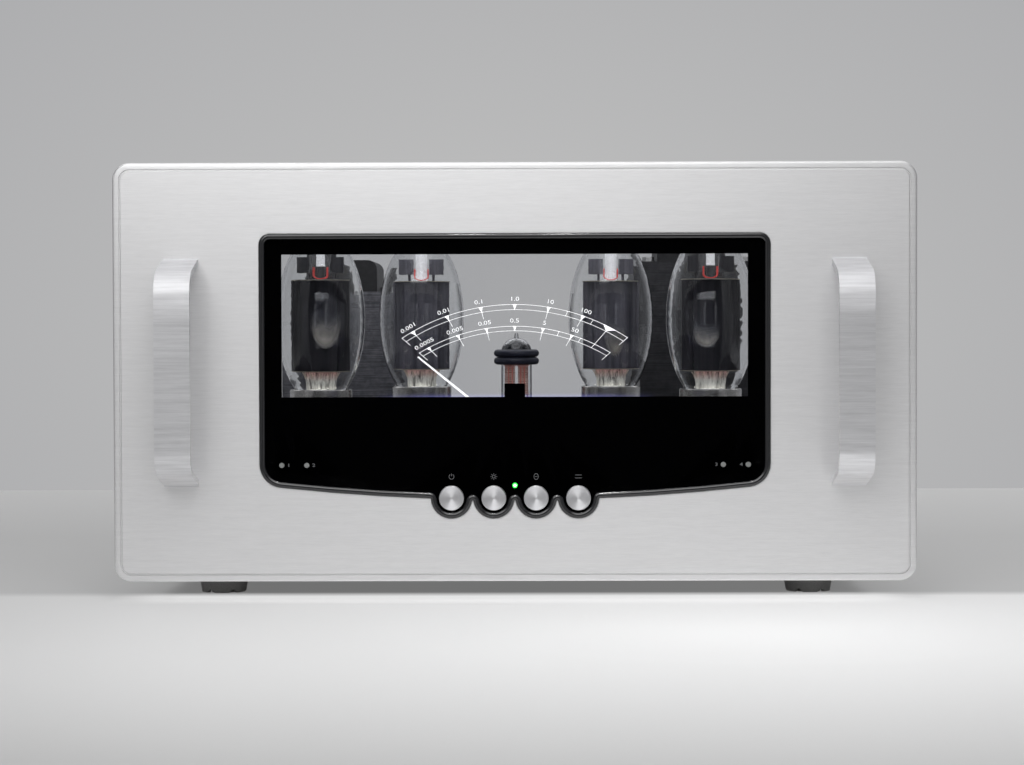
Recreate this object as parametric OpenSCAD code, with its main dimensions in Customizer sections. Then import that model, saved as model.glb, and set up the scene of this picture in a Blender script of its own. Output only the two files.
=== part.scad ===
// Monoblock vacuum-tube power amplifier with a see-through meter window.
// Millimetres. X runs to the right, the front faces -Y, Z is up, and the feet stand on Z = 0.
// Most modules place things by x, by d (depth behind the front of the faceplate)
// and by v (height above the middle of the faceplate).

/* [Faceplate] */
// Width of the faceplate
plate_w = 482.6; // [470:0.1:500]
// Height of the faceplate
plate_h = 251.6; // [246:0.1:262]
// Thickness of the faceplate
plate_t = 12.7; // [11.5:0.1:16]
// Corner radius of the faceplate
plate_r = 10.4; // [7:0.1:13]
// Width of the low rim round the face
rim_w = 3.8; // [2.5:0.1:4.5]
// Step down from the face to the rim
rim_drop = 1; // [0.6:0.1:1.6]
// Width of the groove between the rim and the face
groove_w = 1.1; // [0.7:0.1:1.4]
// Depth of the groove below the rim
groove_drop = 0.8; // [0.3:0.1:1]
// Rounding of the outer edge of the rim
rim_edge_r = 1.6; // [0.8:0.1:2.2]

/* [Window panel] */
// Width of the black bezel
panel_w = 306.6; // [298:0.1:312]
// Height of the bezel above the middle of the faceplate
panel_top = 83.2; // [81:0.1:88]
// Lowest point of the arched lower edge, below the middle of the faceplate
panel_low = 76.8; // [75:0.1:78.5]
// Radius of the arched lower edge
panel_arc_r = 1307; // [900:1:2000]
// Radius of the upper corners
panel_top_r = 6.6; // [6:0.1:9]
// Radius of the lower corners
panel_low_r = 14; // [10:0.1:18]
// Width of the raised bead
bead_w = 3.4; // [2.8:0.1:3.8]
// Height of the bead above the face
bead_rise = 1.6; // [1:0.1:2.4]
// Thickness of the ledge behind the glass
ledge_t = 3; // [2:0.1:3.6]

/* [Glass and meter] */
// Thickness of the front glass
glass_t = 4; // [3.4:0.1:4.4]
// Set-back of the glass behind the face
glass_set = 0.3; // [0:0.1:0.6]
// Thickness of the black printed mask
mask_t = 0.4; // [0.2:0.1:0.6]
// Width of the clear window
window_w = 280; // [272:0.5:284]
// Top of the clear window, above the middle of the faceplate
window_top = 70.7; // [68:0.1:72]
// Foot of the clear window, below the middle of the faceplate
window_low = 15; // [12:0.1:17]
// Width of the black tab at the foot of the window
tab_w = 12.4; // [8:0.1:18]
// Height of the tab above the foot of the window
tab_h = 8; // [4:0.1:11]
// Thickness of the clear scale plate
scale_t = 3; // [2:0.1:3.6]
// Height of the needle's pivot below the middle of the faceplate
pivot_low = 38.1; // [36:0.1:42]
// Length of the needle from its pivot to its tip
needle_l = 75; // [60:0.5:80]
// Width of the needle at its tip
needle_w = 0.9; // [0.6:0.1:1.4]
// Angle of the needle at rest, left of upright
needle_rest = 51; // [45:1:54]
// Radius of the meter movement
movement_r = 17; // [14:0.5:18.5]
// Length of the meter movement
movement_l = 26; // [20:0.5:32]

/* [Buttons and lamps] */
// Spacing of the four push buttons
button_pitch = 25.4; // [24.5:0.1:27]
// Height of the buttons below the middle of the faceplate
button_low = 75.6; // [74.6:0.1:77]
// Radius of a button cap
button_r = 7.4; // [6.4:0.1:7.5]
// Height of a button cap in front of the face
button_proud = 2.2; // [1.6:0.1:3]
// Travel of a button
button_travel = 2; // [1.2:0.1:2.2]
// Gap between neighbouring scallops of the bezel
scallop_gap = 0.6; // [0.5:0.05:0.9]
// Height of the round cusp between scallops, below the buttons
cusp_low = 1.96; // [1.6:0.02:2.4]
// Height of the power lamp below the middle of the faceplate
lamp_low = 68.1; // [66:0.1:70]
// Radius of a lamp's light pipe
lamp_r = 1.5; // [1.2:0.1:1.8]
// Distance of the outer tube lamps from the middle
tube_lamp_out = 140; // [134:0.1:141]
// Spacing of a pair of tube lamps
tube_lamp_pitch = 15; // [10:0.1:20]
// Height of the tube lamps below the middle of the faceplate
tube_lamp_low = 55.8; // [50:0.1:58]

/* [Handles] */
// Distance of a handle's middle line from the end of the faceplate
handle_edge = 41; // [38:0.1:47]
// Width of the handle's strap
handle_w = 21; // [16:0.1:24]
// Thickness of the handle's strap
handle_t = 3.4; // [3:0.1:5]
// Reach of the handle in front of the face
handle_reach = 39; // [34:0.5:46]
// Half height of the handle's legs at the faceplate
handle_root = 66.2; // [60:0.1:70]
// Half height at which a leg would meet the grip without its bend
handle_knee = 56.8; // [50:0.1:60]
// Bend radius of the strap's middle line
handle_bend_r = 14.3; // [9:0.1:18]
// Flare of a leg where it meets the faceplate
handle_flare = 1.2; // [1:0.1:2]

/* [Chassis] */
// Depth from the front of the faceplate to the back of the rear wall
body_depth = 452; // [440:1:480]
// Width of the chassis
chassis_w = 440; // [432:1:450]
// Thickness of the chassis sheet
sheet_t = 2; // [1.6:0.1:2.6]
// Height of the chassis above the lower edge of the faceplate
chassis_lift = 6; // [4:0.1:10]
// Top of the deck below the middle of the faceplate
deck_low = 40; // [38:0.1:44]
// Width of each arm that reaches forward to the faceplate
arm_w = 50; // [46:0.5:54]
// Depth at which the deck starts behind the meter
notch_d = 60; // [56:0.5:66]
// Height of the faceplate above the floor
floor_gap = 12; // [10:0.1:16]
// Distance of the feet from the middle
foot_x = 182; // [160:1:200]
// Depth of the front feet
foot_front = 58; // [45:1:80]
// Distance of the rear feet from the rear wall
foot_rear = 52; // [40:1:80]
// Radius of a foot at its top
foot_r = 16.6; // [14:0.1:19]
// Radius of a foot at the floor
foot_tip_r = 13.6; // [12.5:0.1:14]
// Distance of a group of vent slots from the middle
vent_x = 70; // [60:1:100]
// Depth of the front row of vent slots
vent_d = 130; // [110:1:140]
// Spacing of the two rows of vent slots
vent_row = 120; // [100:1:130]
// Spacing of neighbouring vent slots
vent_pitch = 14; // [10:0.5:18]
// Length of a vent slot
vent_l = 50; // [40:1:60]
// Width of a vent slot
vent_w = 4; // [3:0.1:5]
// Distance of the circuit board from the chassis sides
board_side = 70; // [60:1:80]
// Spacing of the filter capacitors
capacitor_pitch = 70; // [50:1:72]
// Height of a filter capacitor
capacitor_h = 40; // [30:0.5:44]
// Radius of a filter capacitor
capacitor_r = 15; // [10:0.1:18]
// Distance of the filter capacitors in front of the transformers
capacitor_back = 60; // [50:1:80]

/* [Power tubes] */
// Distance of the outer tubes from the middle
tube_out_x = 124.3; // [120:0.1:132]
// Depth of the outer tubes
tube_out_d = 100; // [92:0.5:108]
// Distance of the inner tubes from the middle
tube_in_x = 63; // [58:0.1:66]
// Depth of the inner tubes
tube_in_d = 170; // [164:0.5:178]
// Largest radius of a bulb
bulb_r = 28.3; // [27.2:0.1:29]
// Height of the widest place above the base
bulb_mid = 45; // [43:0.1:47]
// Half height of the bulb's oval
bulb_half = 55.8; // [55:0.1:58]
// Wall of the glass
bulb_wall = 1.2; // [0.8:0.1:1.4]
// Radius of the tube's base
base_r = 19.8; // [19.4:0.1:21]
// Height of the tube's base
base_h = 22.3; // [20:0.1:25]
// Height of a socket above the deck
socket_rise = 5; // [4:0.1:6]
// Radius of a tube socket in the deck
socket_r = 16; // [15:0.1:17]
// Length of a tube socket under the deck
socket_h = 14; // [12:0.1:16]
// Width of the anode across its wings
anode_w = 37; // [34:0.1:38]
// Height of the anode's foot above the base
anode_foot = 11.8; // [10:0.1:13]
// Height of the anode
anode_h = 57.3; // [54:0.1:59]

/* [Driver tube] */
// Depth of the driver tube
driver_d = 200; // [195:0.5:208]
// Radius of the driver tube's glass
driver_r = 10.5; // [10:0.1:11]
// Height of the driver tube's glass
driver_h = 48; // [46:0.1:52]
// Height of its socket above the deck
driver_rise = 11.3; // [9:0.1:13]
// Height of the damper ring above the socket
damper_rise = 29.7; // [27:0.1:30.5]
// Outer radius of the damper ring
damper_r = 15.3; // [14.6:0.1:17]

/* [Transformers] */
// Distance of the transformers from the middle
core_x = 128.5; // [125:0.5:134]
// Width of a core
core_w = 81; // [76:0.5:86]
// Depth of a core
core_l = 110; // [100:1:114]
// Depth of the cores' front face
core_d = 300; // [292:1:306]
// Top of the power transformer's core, above the middle of the faceplate
power_core_top = 51.8; // [44:0.1:60]
// Top of the output transformer's core, above the middle of the faceplate
output_core_top = 73; // [66:0.1:78]
// Height of a coil's bulge over its core
coil_bulge = 23; // [16:0.1:26]

/* [Rear connectors] */
// Height of the connectors below the middle of the faceplate
rear_low = 80; // [78:0.5:84]
// Distance of the mains inlet to the left of the middle
inlet_x = 165; // [160:1:172]
// Distance of the fuse to the left of the middle
fuse_x = 118; // [114:1:122]
// Distance of the balanced input to the left of the middle
balanced_x = 70; // [66:1:76]
// Distance of the input switch to the left of the middle
switch_x = 38; // [36:1:42]
// Distance of the phono input to the left of the middle
phono_x = 10; // [6:1:16]
// Distance of the trigger socket to the right of the middle
trigger_x = 26; // [20:1:34]
// Place of the first speaker post to the right of the middle
post_x = 72; // [66:1:78]
// Spacing of the speaker posts
post_pitch = 30; // [26:0.5:34]
// Reach of the speaker posts behind the rear wall
post_reach = 36; // [34:0.5:44]
// Bore of a speaker post for a 4 mm plug
plug_bore_d = 4.1; // [4.05:0.01:4.2]
// Outer diameter of the phono barrel
phono_d = 8.3; // [8.2:0.01:8.4]
// Bore of the trigger socket for a 3.5 mm plug
trigger_bore_d = 3.6; // [3.55:0.01:3.7]

/* [Clearances] */
// Running clearance of sliding and turning parts, on the radius
run_fit = 0.06; // [0.04:0.01:0.09]
// Clearance round fixed parts, on the radius
loose_fit = 0.2; // [0.15:0.01:0.3]

/* [Hidden] */
$fn = 48;
eps = 0.5;
arc_step = 12;

// Where the middle of the faceplate's front lies in the shared frame.
plate_z = floor_gap + plate_h / 2;
plate_y = handle_reach - (handle_reach + body_depth + post_reach) / 2;

// The stack behind the face, as depths.
glass_back = glass_set + glass_t;
ledge_front = glass_back + mask_t;
bezel_back = ledge_front + ledge_t;
scale_front = plate_t - scale_t;
needle_d = (ledge_front + scale_front) / 2;
needle_t = 0.8;
clamp_t = 3;
clamp_back = plate_t + clamp_t;
guide_back = clamp_back + 3;
collar_d = guide_back + 0.2;
collar_t = 1;
switch_front = collar_d + collar_t + button_travel + 0.5;
switch_back = switch_front + 8;
board_t = 1.6;

// The bezel's outline, as arcs.
panel_half = panel_w / 2;
ledge_in = panel_top_r - 0.2;
panel_fit = 0.2;
scallop_r = (button_pitch - scallop_gap) / 2;
cusp_r = sqrt(pow(button_pitch / 2, 2) + pow(cusp_low, 2)) - scallop_r;
arc_c = [0, panel_arc_r - panel_low];
low_x = panel_half - panel_low_r;
low_c = [low_x, arc_c[1] - sqrt(pow(panel_arc_r - panel_low_r, 2) - pow(low_x, 2))];
button_xs = [for (i = [0 : 3]) (i - 1.5) * button_pitch];
tube_lamp_xs = [for (s = [-1, 1], k = [0, 1]) s * (tube_lamp_out - k * tube_lamp_pitch)];
button_hole_r = button_r + 0.35;
stem_r = 3;
lamp_hole_r = lamp_r + 0.1;

// The chassis.
chassis_foot = -plate_h / 2 + chassis_lift;
chassis_half = chassis_w / 2;
arm_in = chassis_half - arm_w;
floor_v = -plate_h / 2 - floor_gap;
under_v = chassis_foot - sheet_t;
foot_h = under_v - floor_v;
foot_ds = [foot_front, body_depth - foot_rear];
corner = 12;
corner_xs = [-1, 1];
corner_ds = [plate_t + sheet_t, body_depth - sheet_t - corner];
handle_x = plate_w / 2 - handle_edge;
handle_bolt_wall = 0.88;
handle_bolt_edge = 4.6;
handle_bolt_r = handle_t / 2 - handle_bolt_wall;
handle_bolt_l = 3;
handle_bolt_dx = handle_w / 2 - handle_bolt_edge;
handle_bolt_head_r = 2.4;
handle_slope = atan2(handle_root - handle_knee, handle_reach - handle_t / 2);
handle_bolt_v = handle_root - handle_bolt_l * tan(handle_slope) / 2;
plate_bolt_vs = [-deck_low - 15, chassis_foot + 15];
plate_bolt_x = arm_in + 12;
clamp_lip = 7;
vent_ds = [vent_d, vent_d + vent_row];
board_half = chassis_half - board_side;
board_post_edge = 10;
board_post_x = board_half - board_post_edge;
board_ds = [notch_d + 12, core_d - 16];
board_post_ds = [board_ds[0] + board_post_edge - 2, board_ds[1] - board_post_edge];

// The tubes.
socket_top = -deck_low + socket_rise;
base_top = socket_top + base_h;
neck_r = bulb_r * sqrt(1 - pow(bulb_mid / bulb_half, 2));
neck_l = 9.7;
tube_places = [
    [-tube_out_x, tube_out_d],
    [-tube_in_x, tube_in_d],
    [tube_in_x, tube_in_d],
    [tube_out_x, tube_out_d]
];
pin_ring_r = 8.73;
pin_r = 1.18;
key_r = 3.9;
driver_top = -deck_low + driver_rise;
board_low = deck_low + 24;

// The transformers' legs: outer leg, window, middle leg.
leg_w = 13;
coil_w = 12;
coil_gap = 0.3;
core_bolt_r = 2.5;
core_bolts = [for (sx = [-1, 1], k = [0, 1])
    [sx * (core_w / 2 - leg_w / 2), core_d + leg_w / 2 + k * (core_l - leg_w)]];

// The rear wall.
rear_in = body_depth - sheet_t;
inlet_half = [16.5, 9.5];
post_xs = [for (i = [0 : 3]) post_x + i * post_pitch];
lever_tilt = 13;
lever_pivot = body_depth + 3;

// Places children at x, depth d and height v.
module at(x, d, v) {
    translate([x, plate_y + d, plate_z + v]) children();
}

// Extrudes a front-view sketch of x and v from depth d0 back to depth d1.
module slab(d0, d1) {
    translate([0, plate_y + d1, plate_z]) rotate([90, 0, 0])
        linear_extrude(height = d1 - d0) children();
}

// A round bar along the depth.
module rod(x, v, d0, d1, r) {
    at(x, d0, v) rotate([-90, 0, 0]) cylinder(h = d1 - d0, r = r);
}

// A round bar that stands upright.
module pillar(x, d, v0, v1, r) {
    at(x, d, v0) cylinder(h = v1 - v0, r = r);
}

// A box between two corners.
module block(x0, x1, d0, d1, v0, v1) {
    at(x0, d0, v0) cube([x1 - x0, d1 - d0, v1 - v0]);
}

// A six-sided bar along the depth.
module hex_rod(x, v, d0, d1, r) {
    at(x, d0, v) rotate([-90, 0, 0]) cylinder(h = d1 - d0, r = r, $fn = 6);
}

// Points on an arc; the first one is left out when the arc carries on from another.
function arc_points(c, r, a0, a1, first = 0, step = arc_step) =
    let (n = max(3, ceil(abs(a1 - a0) / step)))
    [for (i = [first : n]) let (a = a0 + (a1 - a0) * i / n) c + r * [cos(a), sin(a)]];

function angle_to(from, to) = atan2(to[1] - from[1], to[0] - from[0]);
function turn_up(a) = a < 0 ? a + 360 : a;

// Where two circles meet, on the left (side = 1) or right (side = -1) of the line between centres.
function circles_meet(c0, r0, c1, r1, side) =
    let (
        gap = norm(c1 - c0),
        u = (c1 - c0) / gap,
        along = (r0 * r0 - r1 * r1 + gap * gap) / (2 * gap),
        across = sqrt(r0 * r0 - along * along)
    )
    c0 + along * u + side * across * [-u[1], u[0]];

// A rounded rectangle about its middle, moved in by an inset.
function round_rect(w, h, r, inset = 0) =
    let (x = w / 2 - r, y = h / 2 - r, q = max(r - inset, 0.2))
    concat(
        arc_points([x, y], q, 0, 90, step = 6),
        arc_points([-x, y], q, 90, 180, step = 6),
        arc_points([-x, -y], q, 180, 270, step = 6),
        arc_points([x, -y], q, 270, 360, step = 6)
    );

// One scallop and the cusp after it: [centre, radius, first angle, last angle, side, first point].
function scallop(i) =
    let (
        here = [button_xs[i], -button_low],
        before = i == 0 ? rim_fillet(-1) : cusp(i - 1),
        after = i == 3 ? rim_fillet(1) : cusp(i)
    )
    [here, scallop_r, turn_up(angle_to(here, before)), turn_up(angle_to(here, after)), 1, 1];

function cusp(i) = [
    (button_xs[i] + button_xs[i + 1]) / 2,
    -button_low - cusp_low
];

// Centre of the small fillet between the arched edge and the outer scallops.
function rim_fillet(s) =
    let (last = [s * button_xs[3], -button_low])
    let (c = circles_meet(arc_c, panel_arc_r + cusp_r, last, scallop_r + cusp_r, s))
    c;

function hollow(c, from, to) = [c, cusp_r, angle_to(c, from), angle_to(c, to), -1, 1];

panel_arcs =
    let (
        buttons = [for (x = button_xs) [x, -button_low]],
        left = rim_fillet(-1),
        right = rim_fillet(1),
        low_left = [-low_c[0], low_c[1]],
        top_x = panel_half - panel_top_r,
        top_v = panel_top - panel_top_r
    )
    concat(
        [
            [[top_x, top_v], panel_top_r, 0, 90, 1, 0],
            [[-top_x, top_v], panel_top_r, 90, 180, 1, 0],
            [low_left, panel_low_r, 180, turn_up(angle_to(arc_c, low_left)), 1, 0],
            [arc_c, panel_arc_r, turn_up(angle_to(arc_c, low_left)), turn_up(angle_to(arc_c, left)), 1, 1],
            hollow(left, arc_c, buttons[0])
        ],
        [for (i = [0 : 3]) each i < 3
            ? [scallop(i), hollow(cusp(i), buttons[i], buttons[i + 1])]
            : [scallop(i)]],
        [
            hollow(right, buttons[3], arc_c),
            [arc_c, panel_arc_r, turn_up(angle_to(arc_c, right)), turn_up(angle_to(arc_c, low_c)), 1, 1],
            [low_c, panel_low_r, turn_up(angle_to(arc_c, low_c)), 360, 1, 1]
        ]
    );

// The bezel's outline, grown outward by g.
function panel_path(g) = [for (a = panel_arcs) each arc_points(a[0], a[1] + a[4] * g, a[2], a[3], a[5])];

// Lifts a front-view outline to depth d.
function lift(path, d) = [for (p = path) [p[0], plate_y + d, plate_z + p[1]]];

// Skins a stack of rings from back to front, closed by caps or, for a loop, back on itself.
module skin(rings, loop = false) {
    n = len(rings[0]);
    m = len(rings);
    last = loop ? m - 1 : m - 2;
    sides = [for (j = [0 : last], i = [0 : n - 1])
        let (a = j * n + i, b = j * n + (i + 1) % n, c = ((j + 1) % m) * n)
        each [[a, c + i, c + (i + 1) % n], [a, c + (i + 1) % n, b]]];
    caps = loop ? [] : [[for (i = [0 : n - 1]) i], [for (i = [n - 1 : -1 : 0]) (m - 1) * n + i]];
    polyhedron(points = [for (ring = rings) each ring], faces = concat(sides, caps));
}

// The faceplate: a thick plate with a stepped, grooved and rounded rim.
module faceplate() {
    edge = [for (a = [0 : 30 : 90]) [rim_edge_r * (1 - cos(a)), rim_drop + rim_edge_r * (1 - sin(a))]];
    step = rim_w + groove_w;
    profile = concat(
        [[0, plate_t]],
        edge,
        [
            [rim_w, rim_drop],
            [rim_w + 0.15, rim_drop + groove_drop],
            [step - 0.15, rim_drop + groove_drop],
            [step, 0.35],
            [step + 0.35, 0]
        ]
    );
    color("gainsboro") difference() {
        skin([for (p = profile) lift(round_rect(plate_w, plate_h, plate_r, p[0]), p[1])]);
        slab(-eps, plate_t + eps) polygon(panel_path(panel_fit));
        for (s = [-1, 1]) handle_bolts(s, [-1, 1], -eps, plate_t + eps, handle_bolt_r + loose_fit);
        for (sx = [-1, 1], v = plate_bolt_vs)
            rod(sx * plate_bolt_x, v, plate_t - 8, plate_t + eps, 2 + loose_fit);
        clamp_bolts(plate_t - 7, plate_t + eps, 1.5 + loose_fit);
    }
}

// Two rods side by side in each leg of a handle, for its bolts or their holes.
module handle_bolts(s, legs, front, back, r) {
    for (leg = legs, k = [-1, 1])
        rod(s * handle_x + k * handle_bolt_dx, leg * handle_bolt_v, front, back, r);
}

// One strap handle, drawn from the side and given its width.
module handle(s) {
    grip = handle_reach - handle_t / 2;
    slope = handle_slope;
    bend = [grip - handle_bend_r, handle_knee - handle_bend_r * (1 - sin(slope)) / cos(slope)];
    half = handle_t / 2 / cos(slope);
    sink = 0.4;
    fall = handle_flare * tan(slope) + sink;
    low = handle_root - half - handle_flare;
    outer = concat(
        [[0, handle_root + half]],
        arc_points(bend, handle_bend_r + handle_t / 2, 90 - slope, 0)
    );
    inner = concat(
        arc_points(bend, handle_bend_r - handle_t / 2, 0, 90 - slope),
        [[0, handle_root - half]]
    );
    flip = [for (i = [len(outer) - 1 : -1 : 0]) [outer[i][0], -outer[i][1]]];
    flip_in = [for (i = [len(inner) - 1 : -1 : 0]) [inner[i][0], -inner[i][1]]];
    color("gainsboro") difference() {
        translate([s * handle_x - handle_w / 2, plate_y, plate_z]) rotate([90, 0, 90])
            linear_extrude(height = handle_w) {
                mirror([1, 0]) polygon(concat(outer, flip, flip_in, inner));
                for (m = [0, 1]) mirror([0, m]) mirror([1, 0]) {
                    difference() {
                        translate([0, handle_root + half - fall]) square([handle_flare, handle_flare]);
                        translate([handle_flare, handle_root + half - fall + handle_flare])
                            circle(handle_flare);
                    }
                    difference() {
                        translate([0, low]) square([handle_flare, handle_flare]);
                        translate([handle_flare, low]) circle(handle_flare);
                    }
                }
            }
        handle_bolts(s, [-1, 1], -handle_bolt_l - 0.4, eps, handle_bolt_r + 0.05);
    }
}

// Bolts behind the faceplate: eight for the handles and five for the clamp frame.
module front_screws() {
    color("dimgray") {
        for (s = [-1, 1]) {
            handle_bolts(s, [-1, 1], -handle_bolt_l, plate_t, handle_bolt_r);
            handle_bolts(s, [-1, 1], plate_t, plate_t + 2.4, handle_bolt_head_r);
        }
        clamp_bolts(plate_t - 6, clamp_back, 1.5);
        clamp_bolts(clamp_back, clamp_back + 2, 2.8);
    }
}

// The black bezel: a round bead in front and a ledge behind the glass.
module window_bezel() {
    side = 0.35 * bead_rise;
    bead = [for (a = [0 : 30 : 180]) [bead_w / 2 * (1 - cos(a)), -side - (bead_rise - side) * sin(a)]];
    profile = concat(
        [[0, bezel_back]],
        bead,
        [[bead_w, ledge_front], [ledge_in, ledge_front], [ledge_in, bezel_back]]
    );
    color("black") skin([for (p = profile) lift(panel_path(-p[0]), p[1])], true);
}

// Sketch of the glass with its holes for buttons and lamps.
module glass_sketch() {
    difference() {
        polygon(panel_path(-bead_w - panel_fit));
        for (x = button_xs) translate([x, -button_low]) circle(button_hole_r);
        for (x = tube_lamp_xs) translate([x, -tube_lamp_low]) circle(lamp_hole_r);
        translate([0, -lamp_low]) circle(lamp_hole_r);
    }
}

module window_glass() {
    color([0.75, 0.8, 0.82, 0.4]) slab(glass_set, glass_back) glass_sketch();
}

// The black mask behind the glass leaves a clear window with a tab at its foot.
module glass_mask() {
    color("black") slab(glass_back, ledge_front) difference() {
        glass_sketch();
        difference() {
            translate([-window_w / 2, -window_low]) square([window_w, window_low + window_top]);
            translate([-tab_w / 2, -window_low - 1]) square([tab_w, tab_h + 1]);
        }
    }
}

// Bars at the five screws that hold the clamp frame.
module clamp_bolts(d0, d1, r) {
    reach = clamp_lip - 3;
    for (sx = [-1, 0, 1]) rod(sx * (panel_half - 20), panel_top + reach, d0, d1, r);
    for (sx = [-1, 1]) rod(sx * (panel_half + reach), -panel_low / 2, d0, d1, r);
}

// The frame behind the faceplate that clamps the bezel, carries the meter and guides the buttons.
module clamp_frame() {
    open = 1.5;
    low = button_low + scallop_r + clamp_lip;
    color("dimgray") difference() {
        union() {
            slab(plate_t, clamp_back) {
                translate([-panel_half - clamp_lip, -panel_low - clamp_lip])
                    square([panel_w + 2 * clamp_lip, panel_low + panel_top + 2 * clamp_lip]);
                translate([-2.5 * button_pitch, -low]) square([5 * button_pitch, clamp_lip + scallop_r]);
            }
            slab(bezel_back, plate_t + eps) difference() {
                polygon(panel_path(-2 * panel_fit));
                polygon(panel_path(-ledge_in / 2));
            }
            for (x = button_xs) rod(x, -button_low, plate_t, guide_back, stem_r + 2.5);
            for (sx = [-1, 1]) rod(sx * 2.2 * button_pitch, -button_low, plate_t, switch_back, 3.5);
        }
        slab(plate_t - eps, clamp_back + eps)
            translate([-window_w / 2 - open, -window_low - open])
                square([window_w + 2 * open, window_low + window_top + 2 * open]);
        rod(0, -pivot_low, plate_t - eps, clamp_back + eps, 4.5);
        for (x = button_xs) rod(x, -button_low, plate_t - eps, guide_back + eps, stem_r + run_fit);
        for (x = tube_lamp_xs) rod(x, -tube_lamp_low, plate_t - eps, clamp_back + eps, lamp_hole_r);
        rod(0, -lamp_low, plate_t - eps, clamp_back + eps, lamp_hole_r);
        clamp_bolts(plate_t - eps, clamp_back + eps, 1.5 + loose_fit);
    }
}

// The clear plate that carries the printed scale.
module scale_plate() {
    edge = 5;
    foot = window_low + 12;
    color([0.9, 0.95, 1, 0.3]) slab(scale_front, plate_t)
        translate([-window_w / 2 - edge, -foot]) square([window_w + 2 * edge, foot + window_top + edge]);
}

// The needle with its hub, tail and pivot shaft, drawn at its left stop.
module meter_pointer() {
    tail = 12;
    color("white") union() {
        at(0, needle_d + needle_t / 2, -pivot_low) rotate([90, 0, 0])
            linear_extrude(height = needle_t) rotate(needle_rest) polygon([
                [-needle_w / 2, needle_l], [-needle_w, 0], [-1.5, -tail],
                [1.5, -tail], [needle_w, 0], [needle_w / 2, needle_l]
            ]);
        rod(0, -pivot_low, needle_d - needle_t / 2, needle_d + 1.6, 3.2);
        rod(0, -pivot_low, needle_d, clamp_back + movement_l / 2, 1);
    }
}

// The closed meter movement behind the clamp frame, with the bearing of the needle's shaft.
module meter_movement() {
    color("dimgray") difference() {
        union() {
            rod(0, -pivot_low, clamp_back, clamp_back + movement_l, movement_r);
            rod(0, -pivot_low, clamp_back, clamp_back + 2, movement_r + 2);
        }
        rod(0, -pivot_low, clamp_back - eps, clamp_back + movement_l / 2 + 1, 1 + run_fit);
    }
}

// A push button: a turned cap with a dished face, a stem and a collar behind the guide.
module push_button(i) {
    x = button_xs[i];
    cap_back = ledge_front - button_travel - 0.4;
    cap_t = cap_back + button_proud;
    color("silver") {
        at(x, -button_proud, -button_low) rotate([-90, 0, 0]) rotate_extrude() polygon([
            [0, 0.5], [button_r - 1.1, 0.1], [button_r - 0.8, 0], [button_r - 0.4, 0], [button_r, 0.4],
            [button_r, cap_t], [0, cap_t]
        ]);
        rod(x, -button_low, cap_back - 0.5, switch_front + 2, stem_r);
        rod(x, -button_low, collar_d, collar_d + collar_t, stem_r + 1.4);
    }
}

// Four push switches that take the buttons' stems.
module button_switches() {
    half = 6;
    color("darkslategray") for (x = button_xs) difference() {
        block(x - half, x + half, switch_front, switch_back, -button_low - half, -button_low + half);
        rod(x, -button_low, switch_front - eps, switch_front + button_travel + 3.2, stem_r + 0.3);
    }
}

module control_board() {
    color("darkgreen")
        block(-2.5 * button_pitch, 2.5 * button_pitch, switch_back, switch_back + board_t,
              -button_low - 12, -lamp_low + 8);
}

// The power lamp's light pipe runs from the glass to the control board.
module power_lamp() {
    color("limegreen") rod(0, -lamp_low, -0.1, switch_back, lamp_r);
}

// Four light pipes with flanges behind the clamp frame.
module tube_lamps() {
    color("lightgray") for (x = tube_lamp_xs) {
        rod(x, -tube_lamp_low, 0.1, clamp_back, lamp_r);
        rod(x, -tube_lamp_low, clamp_back, clamp_back + 1.5, lamp_r + 1);
    }
}

// Plan of the chassis: a rectangle with a notch behind the meter, moved in by an inset.
function chassis_plan(inset) = [
    [-chassis_half + inset, body_depth - inset], [-chassis_half + inset, plate_t + inset],
    [-arm_in - inset, plate_t + inset], [-arm_in - inset, notch_d + inset],
    [arm_in + inset, notch_d + inset], [arm_in + inset, plate_t + inset],
    [chassis_half - inset, plate_t + inset], [chassis_half - inset, body_depth - inset]
];

// The chassis: deck and walls of folded sheet, open below.
module chassis_shell() {
    color("dimgray") difference() {
        union() {
            difference() {
                at(0, 0, chassis_foot)
                    linear_extrude(height = -deck_low - chassis_foot) polygon(chassis_plan(0));
                at(0, 0, chassis_foot - eps)
                    linear_extrude(height = -deck_low - chassis_foot - sheet_t + eps)
                        polygon(chassis_plan(sheet_t));
            }
            for (s = corner_xs, d = corner_ds)
                block(s * (chassis_half - sheet_t - corner / 2) - corner / 2 - 0.5,
                      s * (chassis_half - sheet_t - corner / 2) + corner / 2 + 0.5,
                      d - 0.5, d + corner + 0.5, chassis_foot, chassis_foot + corner);
        }
        deck_holes();
        front_holes();
        rear_holes();
        for (s = corner_xs, d = corner_ds)
            pillar(s * (chassis_half - sheet_t - corner / 2), d + corner / 2,
                   chassis_foot - eps, chassis_foot + 9, 1.5 + 0.05);
    }
}

module deck_holes() {
    low = -deck_low - sheet_t - eps;
    high = -deck_low + eps;
    for (p = tube_places) pillar(p[0], p[1], low, high, socket_r + loose_fit);
    pillar(0, driver_d, low, high, 11 + loose_fit);
    for (s = [-1, 1]) {
        slot = core_w / 2 - leg_w + coil_gap + 0.1;
        block(
            s * core_x - slot, s * core_x + slot,
            core_d + leg_w - 2, core_d + core_l - leg_w + 2, low, high
        );
        for (b = core_bolts) pillar(s * core_x + b[0], b[1], low, high, core_bolt_r + loose_fit);
    }
}

module front_holes() {
    for (s = [-1, 1]) {
        handle_bolts(s, [-1], plate_t - eps, plate_t + sheet_t + eps, handle_bolt_head_r + 0.8);
        for (v = plate_bolt_vs)
            rod(s * plate_bolt_x, v, plate_t - eps, plate_t + sheet_t + eps, 2 + loose_fit);
    }
}

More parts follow.
